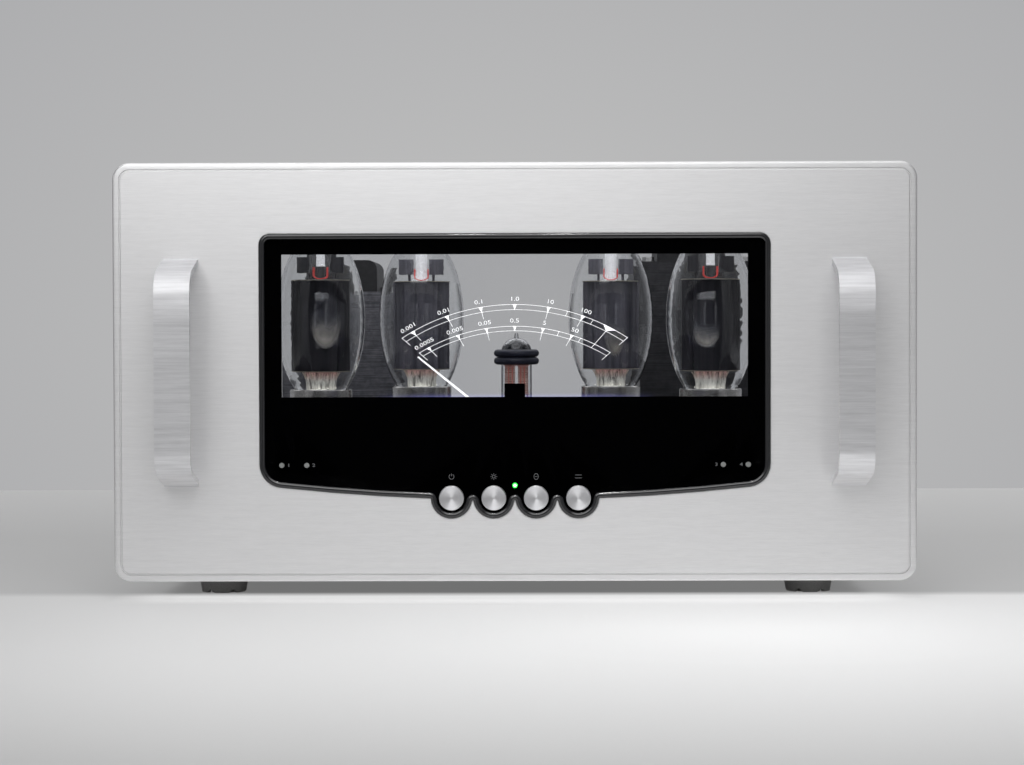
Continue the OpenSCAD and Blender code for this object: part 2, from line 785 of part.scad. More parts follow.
module rear_holes() {
    d0 = rear_in - eps;
    d1 = body_depth + eps;
    block(-inlet_x - inlet_half[0] - 3 - loose_fit, -inlet_x + inlet_half[0] + 3 + loose_fit, d0, d1,
          -rear_low - inlet_half[1] - 3 - loose_fit, -rear_low + inlet_half[1] + 3 + loose_fit);
    rod(-fuse_x, -rear_low, d0, d1, 7.6 + loose_fit);
    rod(-balanced_x, -rear_low, d0, d1, 11.5 + loose_fit);
    rod(-switch_x, -rear_low, d0, d1, 5 + loose_fit);
    rod(-phono_x, -rear_low, d0, d1, 4.5 + loose_fit);
    rod(trigger_x, -rear_low, d0, d1, 4 + loose_fit);
    for (x = post_xs) rod(x, -rear_low, d0, d1, 5 + loose_fit);
}

// The bottom plate closes the chassis, with rows of vent slots.
module bottom_plate() {
    color("dimgray") difference() {
        block(-chassis_half, chassis_half, plate_t, body_depth, under_v, chassis_foot);
        for (s = [-1, 1], k = [-2 : 2], d = vent_ds)
            at(s * vent_x + k * vent_pitch, d, under_v - eps)
                linear_extrude(height = sheet_t + 2 * eps) {
                    translate([-vent_w / 2, 0]) square([vent_w, vent_l]);
                    circle(vent_w / 2);
                    translate([0, vent_l]) circle(vent_w / 2);
                }
        for (s = corner_xs, d = corner_ds)
            pillar(
                s * (chassis_half - sheet_t - corner / 2), d + corner / 2,
                under_v - eps, chassis_foot + eps, 1.7
            );
        for (s = [-1, 1], d = foot_ds)
            pillar(s * foot_x, d, under_v - eps, chassis_foot + eps, 2 + loose_fit);
    }
}

// A foot's screw, with its nut inside the chassis.
module foot_screw(x, d) {
    seat = floor_v + foot_h - 6;
    pillar(x, d, seat, chassis_foot + 6, 2);
    pillar(x, d, seat - 3, seat, 3.6);
    at(x, d, chassis_foot) difference() {
        cylinder(h = 3.2, r = 4, $fn = 6);
        translate([0, 0, -eps]) cylinder(h = 5, r = 2 + 0.05);
    }
}

// Screws of the bottom plate and the feet, and bolts from the chassis arms into the faceplate.
module case_screws() {
    color("dimgray") {
        for (s = corner_xs, d = corner_ds) {
            pillar(
                s * (chassis_half - sheet_t - corner / 2), d + corner / 2,
                under_v, chassis_foot + 8, 1.5
            );
            pillar(s * (chassis_half - sheet_t - corner / 2), d + corner / 2, under_v - 1.8, under_v, 2.8);
        }
        for (s = [-1, 1], v = plate_bolt_vs) {
            rod(s * plate_bolt_x, v, plate_t - 7, plate_t + sheet_t, 2);
            rod(s * plate_bolt_x, v, plate_t + sheet_t, plate_t + sheet_t + 3, 3.5);
        }
        for (s = [-1, 1], d = foot_ds) foot_screw(s * foot_x, d);
    }
}

// Four rubber feet: a tapered ring with notches and a middle pad that takes the screw.
module feet() {
    pad_r = 7.6;
    pad_bore = 4.4;
    color("black") for (s = [-1, 1], d = foot_ds) at(s * foot_x, d, floor_v) difference() {
        union() {
            difference() {
                translate([0, 0, 0.4]) cylinder(h = foot_h - 0.4, r1 = foot_tip_r, r2 = foot_r);
                translate([0, 0, -eps]) cylinder(h = 4 + eps, r = foot_tip_r - 2.6);
                for (a = [30 : 60 : 330]) rotate([90, 0, a]) cylinder(h = foot_r, r = 2.4);
            }
            cylinder(h = 5, r = pad_r);
        }
        translate([0, 0, -eps]) cylinder(h = foot_h + 1, r = 2 + loose_fit);
        translate([0, 0, -eps]) cylinder(h = foot_h - 6 + eps, r = pad_bore);
    }
}

// Eight places on the ring of an octal base.
module on_pin_ring() {
    for (a = [22.5 : 45 : 360]) rotate(a) translate([pin_ring_r, 0, 0]) children();
}

module tube_sockets() {
    color("ivory") for (p = tube_places) at(p[0], p[1], -deck_low) difference() {
        union() {
            translate([0, 0, -socket_h]) cylinder(h = socket_h + socket_rise, r = socket_r);
            cylinder(h = 1.6, r = 20.5);
        }
        translate([0, 0, socket_rise - 12]) on_pin_ring() cylinder(h = 14, r = pin_r + 0.12);
        translate([0, 0, socket_rise - 13]) cylinder(h = 15, r = key_r + loose_fit);
    }
}

module driver_socket() {
    color("ivory") at(0, driver_d, -deck_low) difference() {
        union() {
            translate([0, 0, -10]) cylinder(h = 10 + driver_rise, r = 11);
            cylinder(h = 1.6, r = 14.5);
        }
        for (a = [36 : 36 : 324]) rotate(a) translate([5.95, 0, driver_rise - 8]) cylinder(h = 10, r = 0.7);
    }
}

// A power tube's base: a cup for the glass, eight pins and a key.
module tube_base(i) {
    p = tube_places[i];
    lip = neck_r + 0.25;
    color("black") at(p[0], p[1], socket_top) {
        rotate_extrude() polygon([
            [0, 0], [base_r - 3, 0], [base_r - 3, 9], [base_r, 12],
            [base_r, base_h - 0.6], [base_r - 0.6, base_h],
            [lip, base_h], [lip, base_h - 10], [0, base_h - 10]
        ]);
        translate([0, 0, -11]) cylinder(h = 12, r = key_r);
        translate([0, 0, -10]) on_pin_ring() cylinder(h = 11, r = pin_r);
    }
}

// Radius of the oval bulb at height h above the base.
function bulb_at(h) = bulb_r * sqrt(max(0, 1 - pow((h - bulb_mid) / bulb_half, 2)));

// The oval glass bulb: a thin shell with a straight neck in the base.
module tube_bulb(i) {
    p = tube_places[i];
    steps = 20;
    top = bulb_mid + bulb_half;
    start = acos(-bulb_mid / bulb_half);
    inner_half = bulb_half - bulb_wall;
    inner_r = bulb_r - bulb_wall;
    outer = [for (k = [0 : steps]) let (a = start * (1 - k / steps))
        [bulb_r * sin(a), bulb_mid + bulb_half * cos(a)]];
    inner = [for (k = [0 : steps]) let (a = start * k / steps)
        [inner_r * sin(a), bulb_mid + inner_half * cos(a)]];
    color([0.8, 0.85, 0.9, 0.3]) at(p[0], p[1], base_top) rotate_extrude() polygon(concat(
        [[0, -neck_l], [neck_r, -neck_l]],
        [for (q = outer) if (q[0] > 0.01) q],
        [[0, top], [0, top - bulb_wall]],
        [for (q = inner) if (q[0] > 0.01) q],
        [[neck_r - bulb_wall, -neck_l + 1.5], [0, -neck_l + 1.5]]
    ));
}

// A power tube's inside: winged anode, mica discs, posts and two radiators on top.
module tube_electrodes(i) {
    p = tube_places[i];
    anode_top = anode_foot + anode_h;
    mica_t = 0.6;
    color("darkslategray") at(p[0], p[1], base_top) {
        translate([-11, -7.5, anode_foot]) cube([22, 15, anode_h]);
        translate([-anode_w / 2, -0.8, anode_foot]) cube([anode_w, 1.6, anode_h]);
        for (s = [-1, 1]) {
            translate([s * (anode_w / 2 - 0.6) - 0.6, -4, anode_foot]) cube([1.2, 8, anode_h]);
            translate([s * 10 - 4.8, -4, anode_top + 5]) cube([9.6, 8, 10]);
            translate([s * 8, 0, -neck_l + 1.5]) cylinder(h = neck_l + anode_top + 6, r = 0.9);
            translate([0, s * 5, -neck_l + 1.5]) cylinder(h = neck_l + anode_foot, r = 0.9);
        }
        for (h = [anode_foot - mica_t, anode_top])
            translate([0, 0, h - 0.01]) cylinder(h = mica_t + 0.02, r = 16);
        translate([0, 0, anode_top]) cylinder(h = 22, r = 2.4);
    }
}

// The driver tube's glass with its nine pins.
module driver_bulb() {
    wall = 0.9;
    dome = 10;
    straight = driver_h - dome;
    outer = [for (a = [0 : 10 : 80]) [driver_r * cos(a), straight + dome * sin(a)]];
    inner = [for (a = [80 : -10 : 0]) [(driver_r - wall) * cos(a), straight + (dome - wall) * sin(a)]];
    color([0.8, 0.85, 0.9, 0.3]) at(0, driver_d, driver_top) {
        rotate_extrude() polygon(concat(
            [[0, 0], [driver_r - 1, 0], [driver_r, 1]],
            outer,
            [[1.5, driver_h], [1, driver_h + 3], [0, driver_h + 3], [0, driver_h - wall]],
            inner,
            [[driver_r - wall, 2], [0, 2]]
        ));
        for (a = [36 : 36 : 324]) rotate(a) translate([5.95, 0, -7]) cylinder(h = 8, r = 0.5);
    }
}

module driver_electrodes() {
    color("gray") at(0, driver_d, driver_top) {
        for (s = [-1, 1]) {
            translate([s * 4 - 3, -4.5, 10]) cube([6, 9, 19]);
            translate([s * 7.3, 0, 2]) cylinder(h = 30, r = 0.6);
        }
        for (h = [9.4, 28.9]) translate([0, 0, h]) cylinder(h = 0.7, r = 8.8);
    }
}

// The soft damper: two round lobes on one ring, pulled over the driver tube.
module tube_damper() {
    grip = driver_r + 0.15;
    lobe = 2.5;
    color("midnightblue") at(0, driver_d, driver_top + damper_rise) rotate_extrude() difference() {
        union() {
            for (h = [lobe, 3.08 * lobe]) translate([damper_r - lobe, h]) circle(lobe);
            translate([grip, 0.4]) square([damper_r - lobe - grip, 4.08 * lobe - 0.8]);
        }
        translate([0, -1]) square([grip, 6 * lobe]);
    }
}

// A transformer's laminated core, with a window on each side of its middle leg.
module transformer_core(s, top) {
    mid = core_w / 2 - leg_w - coil_w;
    color([0.25, 0.25, 0.27]) difference() {
        block(s * core_x - core_w / 2, s * core_x + core_w / 2, core_d, core_d + core_l, -deck_low, top);
        for (k = [-1, 1])
            at(s * core_x + k * (mid + coil_w / 2) - coil_w / 2, core_d + leg_w, -deck_low - eps)
                cube([coil_w, core_l - 2 * leg_w, top + deck_low + 2 * eps]);
        for (b = core_bolts)
            pillar(s * core_x + b[0], b[1], -deck_low - eps, top + eps, core_bolt_r + loose_fit);
    }
}

// Its coil: a wound block round the middle leg that bulges above the core and through the deck.
module transformer_coil(s, top) {
    mid = core_w / 2 - leg_w - coil_w + coil_gap;
    out = core_w / 2 - leg_w - coil_gap;
    bulge_low = 18;
    h = top + deck_low + coil_bulge + bulge_low;
    color([0.12, 0.12, 0.13])
        slab(core_d + leg_w + coil_gap, core_d + core_l - leg_w - coil_gap)
            translate([s * core_x, top + coil_bulge - h / 2]) difference() {
                polygon(round_rect(2 * out, h, 7));
                translate([-mid, bulge_low - h / 2 - coil_gap])
                    square([2 * mid, top + deck_low + 2 * coil_gap]);
            }
}

// Through bolts of both transformers, with hexagon heads and nuts.
module core_bolts() {
    tops = [[-1, power_core_top], [1, output_core_top]];
    color("silver") for (t = tops, b = core_bolts) {
        x = t[0] * core_x + b[0];
        pillar(x, b[1], -deck_low - sheet_t - 5, t[1], core_bolt_r);
        at(x, b[1], t[1]) cylinder(h = 3.2, r = 4.4, $fn = 6);
        at(x, b[1], -deck_low - sheet_t - 4) cylinder(h = 4, r = 4.4, $fn = 6);
    }
}

// The circuit board hangs from the deck on spacers.
module main_board() {
    color("darkgreen") {
        block(-board_half, board_half, board_ds[0], board_ds[1], -board_low - board_t, -board_low);
        for (k = [-1 : 1], d = board_post_ds)
            pillar(k * board_post_x, d, -board_low, -deck_low - sheet_t, 3);
    }
}

module filter_capacitors() {
    color("midnightblue") for (k = [-1.5 : 1.5])
        pillar(
            k * capacitor_pitch, core_d - capacitor_back,
            -board_low - board_t - capacitor_h, -board_low - board_t, capacitor_r
        );
}

// The mains inlet: a flanged socket with three recessed blades.
module mains_inlet() {
    wall = 3;
    floor_d = body_depth - 26;
    hx = inlet_half[0];
    hv = inlet_half[1];
    color("black") {
        difference() {
            union() {
                block(-inlet_x - hx - wall, -inlet_x + hx + wall, floor_d - wall, body_depth,
                      -rear_low - hv - wall, -rear_low + hv + wall);
                block(-inlet_x - hx - 10, -inlet_x + hx + 10, body_depth, body_depth + 2.5,
                      -rear_low - hv - 7, -rear_low + hv + 7);
            }
            block(
                -inlet_x - hx, -inlet_x + hx,
                floor_d, body_depth + 2.5 + eps, -rear_low - hv, -rear_low + hv
            );
        }
        for (k = [-1, 0, 1])
            block(-inlet_x + k * 10 - 3.5, -inlet_x + k * 10 + 3.5, floor_d - 1, body_depth - 4,
                  -rear_low + (k == 0 ? 3 : -3) - 1, -rear_low + (k == 0 ? 3 : -3) + 1);
    }
}

module fuse_holder() {
    color("black") difference() {
        union() {
            rod(-fuse_x, -rear_low, body_depth - 28, body_depth, 7.6);
            rod(-fuse_x, -rear_low, body_depth, body_depth + 2, 10);
        }
        rod(-fuse_x, -rear_low, body_depth - 24, body_depth + 2 + eps, 5.6);
    }
}

// The fuse's cap turns in its holder.
module fuse_cap() {
    color("black") difference() {
        union() {
            rod(-fuse_x, -rear_low, body_depth - 22, body_depth + 3, 5.6 - run_fit);
            rod(-fuse_x, -rear_low, body_depth + 2.3, body_depth + 11, 7.5);
        }
        block(
            -fuse_x - 9, -fuse_x + 9, body_depth + 9.2, body_depth + 12,
            -rear_low - 0.8, -rear_low + 0.8
        );
    }
}

// The balanced input: a flange, a round mouth and an insert with three contacts.
module balanced_input() {
    color("gray") {
        difference() {
            union() {
                rod(-balanced_x, -rear_low, body_depth - 26, body_depth, 11.5);
                block(
                    -balanced_x - 13, -balanced_x + 13,
                    body_depth, body_depth + 2, -rear_low - 15.5, -rear_low + 15.5
                );
            }
            rod(-balanced_x, -rear_low, body_depth - 13, body_depth + 2 + eps, 9.7);
        }
        difference() {
            rod(-balanced_x, -rear_low, body_depth - 14, body_depth + 1, 7.7);
            for (a = [30, 150, 270])
                rod(
                    -balanced_x + 4.4 * cos(a), -rear_low + 4.4 * sin(a),
                    body_depth - 9, body_depth + 2, 1.25
                );
        }
    }
}

module phono_input() {
    color("gold") difference() {
        union() {
            rod(-phono_x, -rear_low, body_depth - 14, body_depth, 4.5);
            hex_rod(-phono_x, -rear_low, body_depth, body_depth + 2.5, 7.2);
            rod(-phono_x, -rear_low, body_depth + 2, body_depth + 11.5, phono_d / 2);
        }
        rod(-phono_x, -rear_low, body_depth + 1, body_depth + 12, 1.65);
    }
}

module trigger_socket() {
    color("black") difference() {
        union() {
            rod(trigger_x, -rear_low, body_depth - 16, body_depth, 4);
            rod(trigger_x, -rear_low, body_depth, body_depth + 2.5, 5);
        }
        rod(trigger_x, -rear_low, body_depth - 12, body_depth + 3, trigger_bore_d / 2);
    }
}

// The input switch: a body behind the wall and a bushing that holds the lever's ball.
module input_switch() {
    color("silver") difference() {
        union() {
            block(
                -switch_x - 6.5, -switch_x + 6.5,
                body_depth - 18, rear_in, -rear_low - 6.5, -rear_low + 6.5
            );
            rod(-switch_x, -rear_low, rear_in - 1, body_depth + 6, 5);
            hex_rod(-switch_x, -rear_low, body_depth, body_depth + 2, 7.2);
        }
        rod(-switch_x, -rear_low, rear_in - 2, body_depth + 6 + eps, 3.5);
    }
}

// The lever and its ball, tilted up at rest.
module switch_lever() {
    color("silver") at(-switch_x, lever_pivot, -rear_low) {
        sphere(r = 3.5 - run_fit);
        rotate([-90 + lever_tilt, 0, 0]) cylinder(h = 15, r = 1.4);
        rotate([-90 + lever_tilt, 0, 0]) translate([0, 0, 15]) sphere(r = 2);
    }
}

// Four speaker posts: a base, a threaded stem with a plug bore and a cross hole for bare wire.
module speaker_posts() {
    color("goldenrod") for (x = post_xs) difference() {
        union() {
            rod(x, -rear_low, body_depth - 14, body_depth, 5);
            hex_rod(x, -rear_low, rear_in - 5, rear_in, 8);
            rod(x, -rear_low, body_depth, body_depth + 5, 9.5);
            rod(x, -rear_low, body_depth + 4, body_depth + post_reach, 4);
        }
        rod(x, -rear_low, body_depth + post_reach - 20, body_depth + post_reach + eps, plug_bore_d / 2);
        pillar(x, body_depth + 8.5, -rear_low - 5, -rear_low + 5, 1.6);
    }
}

// A fluted nut that turns on its post.
module post_nut(i) {
    x = post_xs[i];
    d0 = body_depth + 12;
    d1 = body_depth + post_reach - 1.5;
    color("black") difference() {
        rod(x, -rear_low, d0, d1, 8.6);
        rod(x, -rear_low, d0 - eps, d1 + eps, 4 + run_fit);
        for (a = [0 : 45 : 315])
            rod(x + 9.6 * cos(a), -rear_low + 9.6 * sin(a), d0 + 3, d1 + eps, 2.2);
    }
}

faceplate();
handle(-1);  // handle_left
handle(1);  // handle_right
front_screws();
window_bezel();
window_glass();
glass_mask();
clamp_frame();
scale_plate();
meter_pointer();
meter_movement();
push_button(0);  // power_button
push_button(1);  // light_button
push_button(2);  // monitor_button
push_button(3);  // mode_button
button_switches();
control_board();
power_lamp();
tube_lamps();
chassis_shell();
bottom_plate();
case_screws();
feet();
tube_sockets();
driver_socket();
for (i = [0 : 3]) {
    tube_base(i);
    tube_bulb(i);
    tube_electrodes(i);
    post_nut(i);
}
driver_bulb();
driver_electrodes();
tube_damper();
transformer_core(-1, power_core_top);  // power_core
transformer_coil(-1, power_core_top);  // power_coil
transformer_core(1, output_core_top);  // output_core
transformer_coil(1, output_core_top);  // output_coil
core_bolts();
main_board();
filter_capacitors();
mains_inlet();
fuse_holder();
fuse_cap();
balanced_input();
phono_input();
trigger_socket();
input_switch();
switch_lever();
speaker_posts();
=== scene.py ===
# %% [markdown]
# A vacuum-tube power amplifier, dressed for a photograph. The solids come from the
# CAD frame, which is already in metres and in place. This lesson gives them finishes
# worked out with shader nodes, and adds the fine things that a solid model leaves out:
# the printed scale, the works inside the tubes, and the marks beside the buttons.

# %% Load the frame
import math

import bmesh
import bpy
import numpy as np
from mathutils import Matrix, Vector


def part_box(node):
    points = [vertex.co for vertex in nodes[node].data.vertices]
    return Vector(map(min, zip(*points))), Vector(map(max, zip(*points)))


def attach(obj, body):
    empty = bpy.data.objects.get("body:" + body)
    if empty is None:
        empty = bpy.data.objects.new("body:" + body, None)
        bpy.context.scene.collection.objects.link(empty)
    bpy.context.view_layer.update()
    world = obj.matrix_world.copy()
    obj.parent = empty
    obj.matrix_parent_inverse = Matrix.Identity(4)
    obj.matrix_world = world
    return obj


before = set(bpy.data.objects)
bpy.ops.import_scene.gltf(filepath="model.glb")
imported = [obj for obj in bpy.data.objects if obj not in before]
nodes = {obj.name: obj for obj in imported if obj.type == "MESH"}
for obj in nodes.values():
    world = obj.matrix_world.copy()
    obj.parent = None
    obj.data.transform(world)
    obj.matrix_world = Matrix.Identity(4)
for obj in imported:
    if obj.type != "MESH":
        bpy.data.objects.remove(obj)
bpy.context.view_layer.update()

# %% [markdown]
# The faceplate is the ruler of this scene. A place is given as x, depth behind the
# plate's front, and height above the plate's middle, all in millimetres, because the
# solids were drawn that way.

# %% Places
plate_low, plate_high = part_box("faceplate")
PLATE_Y = plate_low.y * 1000
PLATE_Z = (plate_low.z + plate_high.z) * 500
PLATE_FRONT = PLATE_Y / 1000


def place(points):
    """Rows of x, depth, height in mm become rows of X, Y, Z in metres."""
    points = np.asarray(points, float)
    return (points + np.array([0, PLATE_Y, PLATE_Z])) / 1000


def middle(node):
    """The middle of a node's box, as x, depth, height in mm."""
    low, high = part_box(node)
    both = (np.array(low) + np.array(high)) * 500
    return both - np.array([0, PLATE_Y, PLATE_Z])


print("plate front", PLATE_Y, "plate middle", PLATE_Z)

# %% [markdown]
# The camera stands a metre and a half in front, a little above the middle, with a long
# lens. Lines that run straight back meet right of and above the picture's middle, so
# the camera looks slightly down and to the left.

# %% Camera
LENS_PX, PHOTO_W, SENSOR = 2503.0, 1024.0, 36.0
CAMERA_AT = (9.4, -1500.0, 30.9)
DOWN_PX, LEFT_PX, ROLL_DEG = 62.1, 18.4, -0.15
camera_data = bpy.data.cameras.new("camera")
camera_data.sensor_width = SENSOR
camera_data.lens = LENS_PX / PHOTO_W * SENSOR
camera_data.clip_end = 50
camera = bpy.data.objects.new("camera", camera_data)
bpy.context.scene.collection.objects.link(camera)
camera_place = place([CAMERA_AT])[0]
pitch = math.radians(90) - math.atan2(DOWN_PX, LENS_PX)
yaw = math.atan2(LEFT_PX, LENS_PX)
roll = math.radians(ROLL_DEG)
camera.matrix_world = (
    Matrix.Translation(camera_place)
    @ Matrix.Rotation(yaw, 4, "Z")
    @ Matrix.Rotation(pitch, 4, "X")
    @ Matrix.Rotation(roll, 4, "Z")
)
bpy.context.scene.camera = camera
bpy.context.scene.view_settings.view_transform = "Standard"
print("lens", round(camera_data.lens, 2))

# %% [markdown]
# A finish is a small graph of nodes. These helpers keep each finish down to a few
# lines: noise stretched along an axis gives brushing and grain, a ramp turns a number
# into a colour, and a bump turns it into relief.


# %% Finish helpers
class Finish:
    """A material whose graph ends in one Principled shader."""

    def __init__(self, name, **values):
        self.mat = bpy.data.materials.new(name)
        self.mat.use_nodes = True
        self.tree = self.mat.node_tree
        self.shader = self.tree.nodes["Principled BSDF"]
        self.coord = None
        for key, value in values.items():
            self.put(key.replace("_", " "), value)

    def put(self, socket, value):
        """Sets a socket of the shader to a constant, or links a node's output to it."""
        target = self.shader.inputs[socket]
        if isinstance(value, bpy.types.NodeSocket):
            self.tree.links.new(value, target)
        elif isinstance(value, tuple) and len(value) == 3:
            target.default_value = (*value, 1)
        else:
            target.default_value = value

    def node(self, kind, **links):
        """A new node. Names are sockets, with a number or an output for the socket to use."""
        made = self.tree.nodes.new("ShaderNode" + kind)
        for key, value in links.items():
            target = made.inputs[key.replace("_", " ")]
            if isinstance(value, bpy.types.NodeSocket):
                self.tree.links.new(value, target)
            else:
                target.default_value = value
        return made

    def where(self, scale=(1, 1, 1), centre=(0, 0, 0)):
        """Object coordinates, moved to a centre in metres, then scaled."""
        if self.coord is None:
            self.coord = self.tree.nodes.new("ShaderNodeTexCoord").outputs["Object"]
        moved = self.node("Mapping", Vector=self.coord)
        moved.inputs["Location"].default_value = [-c for c in centre]
        scaled = self.node("Mapping", Vector=moved.outputs[0])
        scaled.inputs["Scale"].default_value = scale
        return scaled.outputs[0]

    def axis(self, letter, scale=(1, 1, 1), centre=(0, 0, 0)):
        """One of the coordinates that where gives: X, Y or Z."""
        return self.node("SeparateXYZ", Vector=self.where(scale, centre)).outputs[letter]

    def reach(self, scale, centre):
        """The distance from a centre, with its own scale along each axis."""
        made = self.tree.nodes.new("ShaderNodeVectorMath")
        made.operation = "LENGTH"
        self.tree.links.new(self.where(scale, centre), made.inputs[0])
        return made.outputs["Value"]

    def noise(self, scale, detail=4.0, rough=0.6):
        """Noise with its own size along each axis, per metre."""
        made = self.node("TexNoise", Vector=self.where(scale), Scale=1.0)
        made.inputs["Detail"].default_value = detail
        made.inputs["Roughness"].default_value = rough
        return made.outputs["Fac"]

    def ramp(self, fac, low, high, start=0.3, end=0.7):
        """From colour low at start to colour high at end. A number makes a grey."""
        made = self.tree.nodes.new("ShaderNodeValToRGB")
        self.tree.links.new(fac, made.inputs[0])
        for stop, at, colour in zip(made.color_ramp.elements, (start, end), (low, high)):
            stop.position = at
            stop.color = (*colour, 1) if isinstance(colour, tuple) else (colour,) * 3 + (1,)
        return made.outputs[0]

    def between(self, value, start, end, low=0.0, high=1.0):
        """From low where the value is at start to high where it is at end."""
        made = self.node("MapRange", Value=value)
        settings = {"From Min": start, "From Max": end, "To Min": low, "To Max": high}
        for key, number in settings.items():
            made.inputs[key].default_value = number
        return made.outputs[0]

    def sum(self, a, b, how="ADD"):
        """Two numbers joined by a sum, a product or another rule."""
        made = self.tree.nodes.new("ShaderNodeMath")
        made.operation = how
        for socket, value in zip(made.inputs, (a, b)):
            if isinstance(value, bpy.types.NodeSocket):
                self.tree.links.new(value, socket)
            else:
                socket.default_value = value
        return made.outputs[0]

    def times(self, a, b):
        """The product of two numbers."""
        return self.sum(a, b, "MULTIPLY")

    def relief(self, height, depth_mm, strength=1.0):
        """Bump of that depth from a height between 0 and 1."""
        made = self.node("Bump", Height=height, Strength=strength)
        made.inputs["Distance"].default_value = depth_mm / 1000
        self.put("Normal", made.outputs[0])


def dress(finish, *names):
    """Gives CAD nodes one finish."""
    for name in names:
        obj = nodes[name]
        obj.data.materials.clear()
        obj.data.materials.append(finish.mat)


def smooth_node(obj, angle=28, round_mm=0.0):
    """Welds the loose triangles, rounds square edges where asked, keeps edges sharper than
    the angle, and lets wide faces rule the normals so that flats stay flat."""
    mesh = obj.data
    if "custom_normal" in mesh.attributes:
        mesh.attributes.remove(mesh.attributes["custom_normal"])
    mesh.polygons.foreach_set("use_smooth", np.ones(len(mesh.polygons), bool))
    obj.modifiers.new("weld", "WELD").merge_threshold = 1e-6
    if round_mm:
        soft = obj.modifiers.new("round", "BEVEL")
        soft.width, soft.segments = round_mm / 1000, 3
        soft.limit_method, soft.angle_limit = "ANGLE", math.radians(60)
    split = obj.modifiers.new("edges", "EDGE_SPLIT")
    split.split_angle = math.radians(angle)
    flats = obj.modifiers.new("flats", "WEIGHTED_NORMAL")
    flats.keep_sharp, flats.weight = True, 100


# The handles' rounding in mm, and the angle that keeps their bends smooth.
ROUNDED, BEND_ANGLE = {"handle_left": 0.8, "handle_right": 0.8}, 50
for node_name, cad_object in nodes.items():
    if node_name in ROUNDED:
        smooth_node(cad_object, BEND_ANGLE, ROUNDED[node_name])
    else:
        smooth_node(cad_object)
print("rounded", len(ROUNDED))

# %% [markdown]
# The faceplate and handles are aluminium, brushed from side to side and then clear
# anodised. Long thin noise gives the brushing; it steers colour, gloss and relief. The
# handles mirror less at a glance near their tops, where the lamps would burn them out,
# and their bends are rougher than their bars.


# %% Brushed aluminium
def brushed(
    name, along=(110, 110, 1700), tint=(0.84, 0.838, 0.842), rough=0.49, bump=0.02, contrast=1.0
):
    """Aluminium with lines along X: noise that is long in X and short in Z."""
    made = Finish(name, Metallic=1.0)
    lines = made.noise(along, 3.0, 0.65)
    broad = made.noise((22, 22, 420), 2.0, 0.5)
    mixed = made.sum(made.times(lines, 0.65), made.times(broad, 0.35))
    dark = tuple(c * (1 - 0.05 * contrast) for c in tint)
    light = tuple(min(1, c * (1 + 0.04 * contrast)) for c in tint)
    made.put("Base Color", made.ramp(mixed, dark, light))
    made.put("Roughness", made.ramp(mixed, rough + 0.03, rough - 0.03))
    made.relief(lines, bump, 0.25)
    return made


aluminium = brushed("brushed_aluminium")
dress(aluminium, "faceplate")
STRAP_ROUGH, BEND_ROUGH = 0.36, 0.62
strap = brushed("brushed_strap", (40, 40, 900), (0.82, 0.82, 0.835), STRAP_ROUGH, 0.008, 3.0)
LOW_GLANCE, HIGH_GLANCE = (0.95, 0.93, 0.9), (0.55, 0.55, 0.56)
strap_height = strap.axis("Z")
strap.put("Specular Tint", strap.ramp(strap_height, LOW_GLANCE, HIGH_GLANCE, 0.12, 0.16))
STRAP_LOW, STRAP_HIGH = (corner.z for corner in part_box("handle_left"))
bend_ends = (STRAP_HIGH - 0.036, STRAP_HIGH - 0.02), (STRAP_LOW + 0.022, STRAP_LOW + 0.016)
bends = [strap.between(strap_height, *ends, STRAP_ROUGH, BEND_ROUGH) for ends in bend_ends]
strap.put("Roughness", strap.sum(*bends, "MAXIMUM"))
dress(strap, "handle_left", "handle_right")
print("brushed", aluminium.mat.name, strap.mat.name)

# %% [markdown]
# The bezel is a glossy black moulding. The glass is clear, and the black of the panel is
# a print on its back, so the panel keeps the depth of a glass sheet. The scale's clear
# plate is lit from below, which shows as a thin blue line at its foot.


# %% Bezel, glass and print
def clear(name, index, size, dark, pale, detail=1.0):
    """Clear glass with a faint, slow change of tint."""
    made = Finish(name, Roughness=0.0, IOR=index)
    made.put("Transmission Weight", 1.0)
    made.put("Base Color", made.ramp(made.noise((size,) * 3, detail), dark, pale))
    return made


bezel = Finish("black_bezel")
grain = bezel.noise((900, 900, 900), 3.0)
bezel.put("Base Color", bezel.ramp(grain, (0.006, 0.006, 0.0075), (0.011, 0.011, 0.013)))
bezel.put("Roughness", bezel.ramp(grain, 0.07, 0.11))
bezel.put("Specular IOR Level", 0.85)
dress(bezel, "window_bezel")
dress(clear("clear_glass", 1.45, 9, (0.88, 0.892, 0.91), (0.912, 0.916, 0.926)), "window_glass")

acrylic = clear("clear_acrylic", 1.45, 9, (0.88, 0.885, 0.908), (0.91, 0.914, 0.928))
WINDOW_FOOT = (PLATE_Z - 15.0) / 1000
LIT_H, LIT_FULL_X, LIT_END_X, LIT_STRENGTH = 0.0035, 0.045, 0.085, 0.12
low_down = acrylic.between(acrylic.axis("Z"), WINDOW_FOOT, WINDOW_FOOT + LIT_H, 1.0, 0.0)
off_centre = acrylic.sum(acrylic.axis("X"), 0.0, "ABSOLUTE")
edge_light = acrylic.times(acrylic.sum(low_down, 3.0, "POWER"), LIT_STRENGTH)
edge_light = acrylic.times(edge_light, acrylic.between(off_centre, LIT_END_X, LIT_FULL_X))
acrylic.put("Emission Color", (0.3, 0.3, 1.0))
acrylic.put("Emission Strength", edge_light)
dress(acrylic, "scale_plate")

printed = Finish("black_print", Roughness=0.6)
printed.put("Specular IOR Level", 0.0)
specks = printed.noise((700, 700, 700))
printed.put("Base Color", printed.ramp(specks, (0.0006, 0.0006, 0.0008), (0.0012, 0.0012, 0.0014)))
dress(printed, "glass_mask")
print("panel finishes ready")

